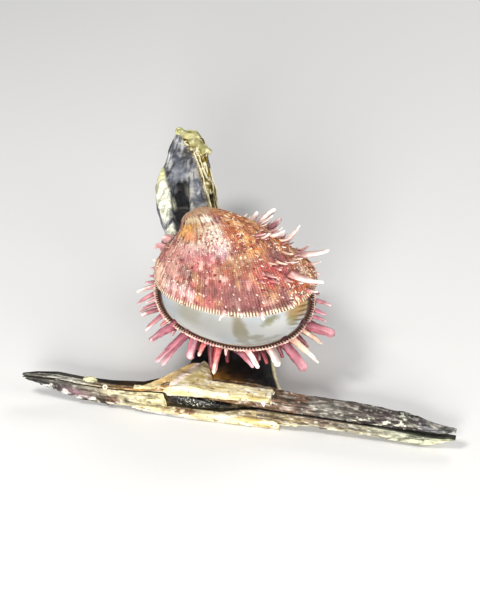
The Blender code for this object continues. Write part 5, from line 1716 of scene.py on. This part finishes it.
@dataclass
class LowerHammer(HammerOyster):
    """The hammer oyster's lower valve: wings, the long cream plate and the body that it rests on."""

    section: Array = field(default_factory=lambda: np.array([
        (-1.0, 1.0), (1.0, 1.0), (1.02, 0.65), (0.62, 0.0), (-0.62, 0.0), (-1.04, 0.65),
    ]))
    wing_colours: tuple[tuple[float, str], ...] = (
        (-100.0, "3A3834"), (-90.0, "46443E"), (-78.0, "5A564E"), (-66.0, "7C7460"), (-58.0, "A0947A"),
        (-48.0, "BCB28C"), (-30.0, "BEB080"), (10.0, "867454"), (20.0, "86744E"), (30.0, "7C6C50"),
        (40.0, "6A5A4C"), (50.0, "786E5A"), (62.0, "847E6A"), (74.0, "9EA088"), (86.0, "A6AA90"),
        (96.0, "B4B48E"), (100.0, "6E7050"),
    )
    plate_x: tuple[float, float] = (-48.0, 20.5)
    plate_y: tuple[float, float] = (-1.4, 13.0)
    plate_z: tuple[float, float] = (0.0, 3.8)

    def plate(self, skin: Skin) -> None:
        """Adds the plate of the hinge: its left end thins from below, its right end is blunt."""
        (x0, x1), (y0, y1), (z0, z1) = self.plate_x, self.plate_y, self.plate_z
        along = np.linspace(x0, x1, 240)
        low_share = np.interp(along, (x0, x0 + 14.0, x1), (0.6, 0.0, 0.0))
        top_share = np.interp(along, (x0, x0 + 14.0, x0 + 26.0, x0 + 42.0, x1 - 3.0, x1),
                              (0.95, 1.05, 0.9, 1.05, 1.1, 0.8))
        low = z0 + (z1 - z0) * low_share
        top = z0 + (z1 - z0) * top_share
        edge = 0.25 * (top - low)
        front = np.full(len(along), y0)
        back = np.full(len(along), y1)
        y = np.stack([front, front, front + edge, back, back, front + edge], axis=1)
        z = np.stack([low + edge, top - edge, top, top, low, low], axis=1)
        x = np.broadcast_to(along[:, None], y.shape)
        ring = ring_through(np.stack([x, y, z], axis=-1), 12, 4)
        height = 0.4 * rough(ring, (7.0, 3.0, 2.0), 3, 94) + 0.22 * rough(ring, (2.2, 1.4, 0.8), 2, 95)
        height += 0.35 * rough(ring, (30.0, 2.0, 0.9), 2, 96)
        ring = ring + normals_of(ring) * (height - 0.1)[..., None]
        ring[..., 2] = np.maximum(ring[..., 2], 0.0)
        paint = self.cream_paint(ring)
        stain = step(-10.0, -24.0, ring[..., 0]) * step(2.6, 1.2, ring[..., 2])
        paint = blend(paint, "8F9399", 0.7 * stain)
        rust = step(-14.0, -20.0, ring[..., 0]) * step(-36.0, -32.0, ring[..., 0])
        rust = rust * step(2.6, 3.4, ring[..., 2]) * step(-0.3, 0.2, rough(ring, 2.4, 2, 351))
        paint = blend(paint, "5A2A14", 0.85 * rust)
        skin.add_grid(ring, paint, np.array([0.5, 0.0, 0.55]))

    def bar_shaped(self, points: Array) -> Array:
        """Sets the bar's front back behind the cream plate."""
        (x0, x1), _, (_, z1) = self.plate_x, self.plate_y, self.plate_z
        over = step(x0 - 1.0, x0 + 5.0, points[..., 0]) * step(x1 + 1.0, x1 - 4.0, points[..., 0])
        low = step(z1 + 1.6, z1 - 0.2, points[..., 2]) * step(6.0, 2.0, points[..., 1])
        points = points.copy()
        points[..., 1] += 1.8 * over * low
        points[..., 2] += 0.6 * over * low * step(2.0, 0.0, points[..., 2])
        near = step(2.0, 0.0, bar_at(points[..., 0], LOWER_TOP) - points[..., 2])
        points[..., 2] -= 0.7 * step(70.0, 88.0, points[..., 0]) * near
        return points

    def wing_marks(self, paint: Array, ring: Array) -> Array:
        """Black and white mottles along the left wing's foot, and a pale scalloped foot on the right."""
        x, z = ring[..., 0], ring[..., 2]
        parting, low = bar_at(x, LOWER_TOP), bar_at(x, LOWER_BASE)
        height = (z - low) / (parting - low)
        uneven = 0.25 * rough(ring, (8.0, 3.0, 3.0), 2, 361)
        mottled = step(-50.0, -58.0, x) * step(0.75, 0.4, height + uneven)
        speck = rough(ring, (2.2, 1.4, 1.1), 3, 363)
        paint = blend(paint, "151314", 0.9 * mottled * step(-0.15, 0.15, speck))
        paint = blend(paint, "D6D4CC", 0.8 * mottled * step(0.12, 0.35, -speck))
        bruise = np.exp(-(((x + 74.0) / 6.0) ** 2) - ((height - 0.45) / 0.25) ** 2)
        paint = blend(paint, "7A5A64", 0.7 * bruise)
        rust = np.exp(-(((x + 57.0) / 4.0) ** 2) - ((height - 0.35) / 0.2) ** 2)
        paint = blend(paint, "4A2014", 0.8 * rust)
        right = step(8.0, 20.0, x)
        foot = right * step(0.55, 0.15, height) * step(-0.25, 0.2, rough(ring, (4.0, 2.0, 1.4), 3, 365))
        return blend(paint, "D2CCAE", 0.7 * foot)

    def build(self, offset: Array, material: bpy.types.Material, valve: SpinyValve) -> bpy.types.Object:
        """Makes the lower valve in one mesh."""
        skin = Skin("hammer_lower_shell")
        self.wings(skin, LOWER_BASE, LOWER_TOP)
        self.plate(skin)
        self.body(skin, self.section, False, valve)
        return finished(skin, offset, material, "hammer_lower_valve")


@dataclass
class SlotLigament:
    """The dark, lumpy ligament in the slot between the hammer oyster's valves."""

    node: str = "hammer_ligament"
    x_range: tuple[float, float] = (LIGAMENT_LEFT, -3.0)
    front: float = 2.6
    back: float = LIGAMENT_BACK
    clearance: float = 0.6
    plate_top: float = 3.8
    bulge: float = 0.8

    def build(self, offset: Array, material: bpy.types.Material) -> bpy.types.Object:
        """Makes the ligament: sections between the two valves with a bulging front, made lumpy by noise."""
        along = np.linspace(*self.x_range, 150)
        low = np.maximum(bar_at(along, LOWER_TOP), self.plate_top) + self.clearance
        slope = HammerOyster.back_slope + HammerOyster.back_slope_per_mm * along
        high = bar_at(along, UPPER_BASE) - slope * self.back - self.clearance
        front = np.full(len(along), self.front)
        back = np.full(len(along), self.back)
        y = np.stack([front, front - self.bulge, front - self.bulge, front, back, back], axis=1)
        z = np.stack([low, low + 0.3 * (high - low), low + 0.7 * (high - low), high, high, low], axis=1)
        x = np.broadcast_to(along[:, None], y.shape)
        ring = ring_through(np.stack([x, y, z], axis=-1), 10, 3)
        height = 0.4 * rough(ring, (3.2, 2.0, 1.6), 3, 97)
        ring = ring + normals_of(ring) * (height - 0.1)[..., None]
        skin = Skin("hammer_slot_ligament")
        skin.add_grid(ring, linear("17130F"), np.array([0.5, 0.0, 1.0]))
        return finished(skin, offset, material, self.node)


def finished(
    skin: Skin, offset: Array, material: bpy.types.Material, node: str,
) -> bpy.types.Object:
    """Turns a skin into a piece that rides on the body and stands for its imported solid.

    Args:
        skin: the arrays.
        offset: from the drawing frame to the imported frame, in millimetres.
        material: its finish.
        node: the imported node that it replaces.

    Returns:
        The piece.
    """
    piece = shown(skin.name, skin.to_mesh(offset))
    piece.data.materials.append(material)
    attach(piece, BODY)
    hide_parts(node)
    LOG.info("%s: %d points, %d faces", piece.name, len(piece.data.vertices), len(piece.data.polygons))
    return piece


@dataclass(frozen=True)
class Studio:
    """A plain pale floor, soft lights and the camera at the photograph's angle."""

    azimuth: float = 12.0
    elevation: float = 33.0
    distance: float = 900.0
    target: tuple[float, float, float] = (-9.2, 54.3, 30.0)
    image_width: int = 480
    focal_pixels: float = 1914.9
    sensor: float = 36.0

    def floor(self) -> None:
        """Makes the floor: one large pale plane."""
        mesh = bpy.data.meshes.new("floor")
        edge = 3.0
        mesh.from_pydata([(-edge, -edge, 0.0), (edge, -edge, 0.0), (edge, edge, 0.0), (-edge, edge, 0.0)], [],
                         [(0, 1, 2, 3)])
        floor = shown("floor", mesh)
        material, shader = plain_material("pale_floor")
        shader.inputs["Base Color"].default_value = (0.62, 0.61, 0.59, 1.0)
        shader.inputs["Roughness"].default_value = 0.7
        mesh.materials.append(material)

    def light(self, name: str, place: tuple[float, float, float], size: float, power: float) -> None:
        """Adds one square area light that looks at the object."""
        lamp = bpy.data.lights.new(name, "AREA")
        lamp.shape = "SQUARE"
        lamp.size = size
        lamp.energy = power
        light = shown(name, lamp)
        light.location = place
        aim = Vector((0.0, 0.0, 0.03)) - light.location
        light.rotation_euler = aim.to_track_quat("-Z", "Y").to_euler()

    def lights(self) -> None:
        """A key light from the left above, a fill from the right, one from behind, and a pale surround."""
        self.light("key", (-0.35, -0.5, 0.95), 0.25, 8.0)
        self.light("front", (0.05, -1.0, 0.34), 0.3, 15.0)
        self.light("fill", (0.8, -0.3, 0.5), 0.5, 2.5)
        self.light("back", (0.25, 0.8, 0.75), 0.5, 4.0)
        world = bpy.data.worlds.new("surround")
        world.use_nodes = True
        background = world.node_tree.nodes["Background"]
        background.inputs["Color"].default_value = (0.9, 0.93, 1.0, 1.0)
        background.inputs["Strength"].default_value = 0.25
        bpy.context.scene.world = world
        view = bpy.context.scene.view_settings
        view.view_transform = "Standard"

    def camera(self, offset: Array) -> None:
        """Places the camera on its distance from the target, at the azimuth and elevation."""
        turn, lift = math.radians(self.azimuth), math.radians(self.elevation)
        back = Vector((math.sin(turn) * math.cos(lift), -math.cos(turn) * math.cos(lift), math.sin(lift)))
        data = bpy.data.cameras.new("camera")
        data.sensor_fit = "HORIZONTAL"
        data.sensor_width = self.sensor
        data.lens = self.sensor * self.focal_pixels / self.image_width
        camera = shown("camera", data)
        target = Vector((np.array(self.target) + offset) * MM)
        camera.location = target + back * self.distance * MM
        camera.rotation_mode = "QUATERNION"
        camera.rotation_quaternion = (-back).to_track_quat("-Z", "Y")
        bpy.context.scene.camera = camera


def corners(box: tuple[Vector, Vector]) -> list[list[float]]:
    """A box's two corners as plain lists."""
    return [[float(value) for value in corner] for corner in box]


def main() -> None:
    """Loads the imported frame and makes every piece."""
    logging.basicConfig(level=logging.INFO, format="%(name)s: %(message)s")
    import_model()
    low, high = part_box("hammer_ligament")
    offset = np.array([low.x / MM - LIGAMENT_LEFT, high.y / MM - LIGAMENT_BACK, 0.0])
    LOG.info("offset %s", offset.round(3))

    spiny_upper = ShellFinish("spiny_upper_shell", with_specks=True).make()
    spiny_lower = ShellFinish("spiny_lower_shell", with_specks=True, pale="EED8C6", rust="A04A40").make()
    coarse = {"mottle": 0.5, "grain_depth": 0.0006, "stretch": (0.5, 1.0, 1.0), "subsurface": 0.0,
              "specular": 0.12}
    rough_upper = ShellFinish("hammer_upper_shell", mottle_size=500.0, fleck_size=1100.0, grain_size=2200.0,
                              **coarse).make()
    rough_lower = ShellFinish("hammer_lower_shell", mottle_size=460.0, fleck_size=1000.0, grain_size=2100.0,
                              **coarse).make()
    upper = UpperValve("spiny_upper_shell", "spiny_upper_valve", "spiny_upper_shell", side=1, opening=1.30,
                       depth=15.5, spines=UPPER_SPINES, umbo_lean=-6.0)
    lower = LowerValve("spiny_lower_shell", "spiny_lower_valve", "spiny_lower_shell", side=-1, opening=1.15,
                       depth=18.0, spines=LOWER_SPINES, outer_rows=62, seed=35)
    upper.build(offset, spiny_upper)
    lower.build(offset, spiny_lower)
    InnerLigament().build(offset, LigamentFinish("inner_ligament", speck_and_glint_share=0.1).make(), lower)
    UpperHammer().build(offset, rough_upper, lower)
    LowerHammer(seed=160).build(offset, rough_lower, lower)
    SlotLigament().build(offset, LigamentFinish("slot_ligament").make())

    studio = Studio()
    studio.floor()
    studio.lights()
    studio.camera(offset)


if __name__ == "__main__":
    main()
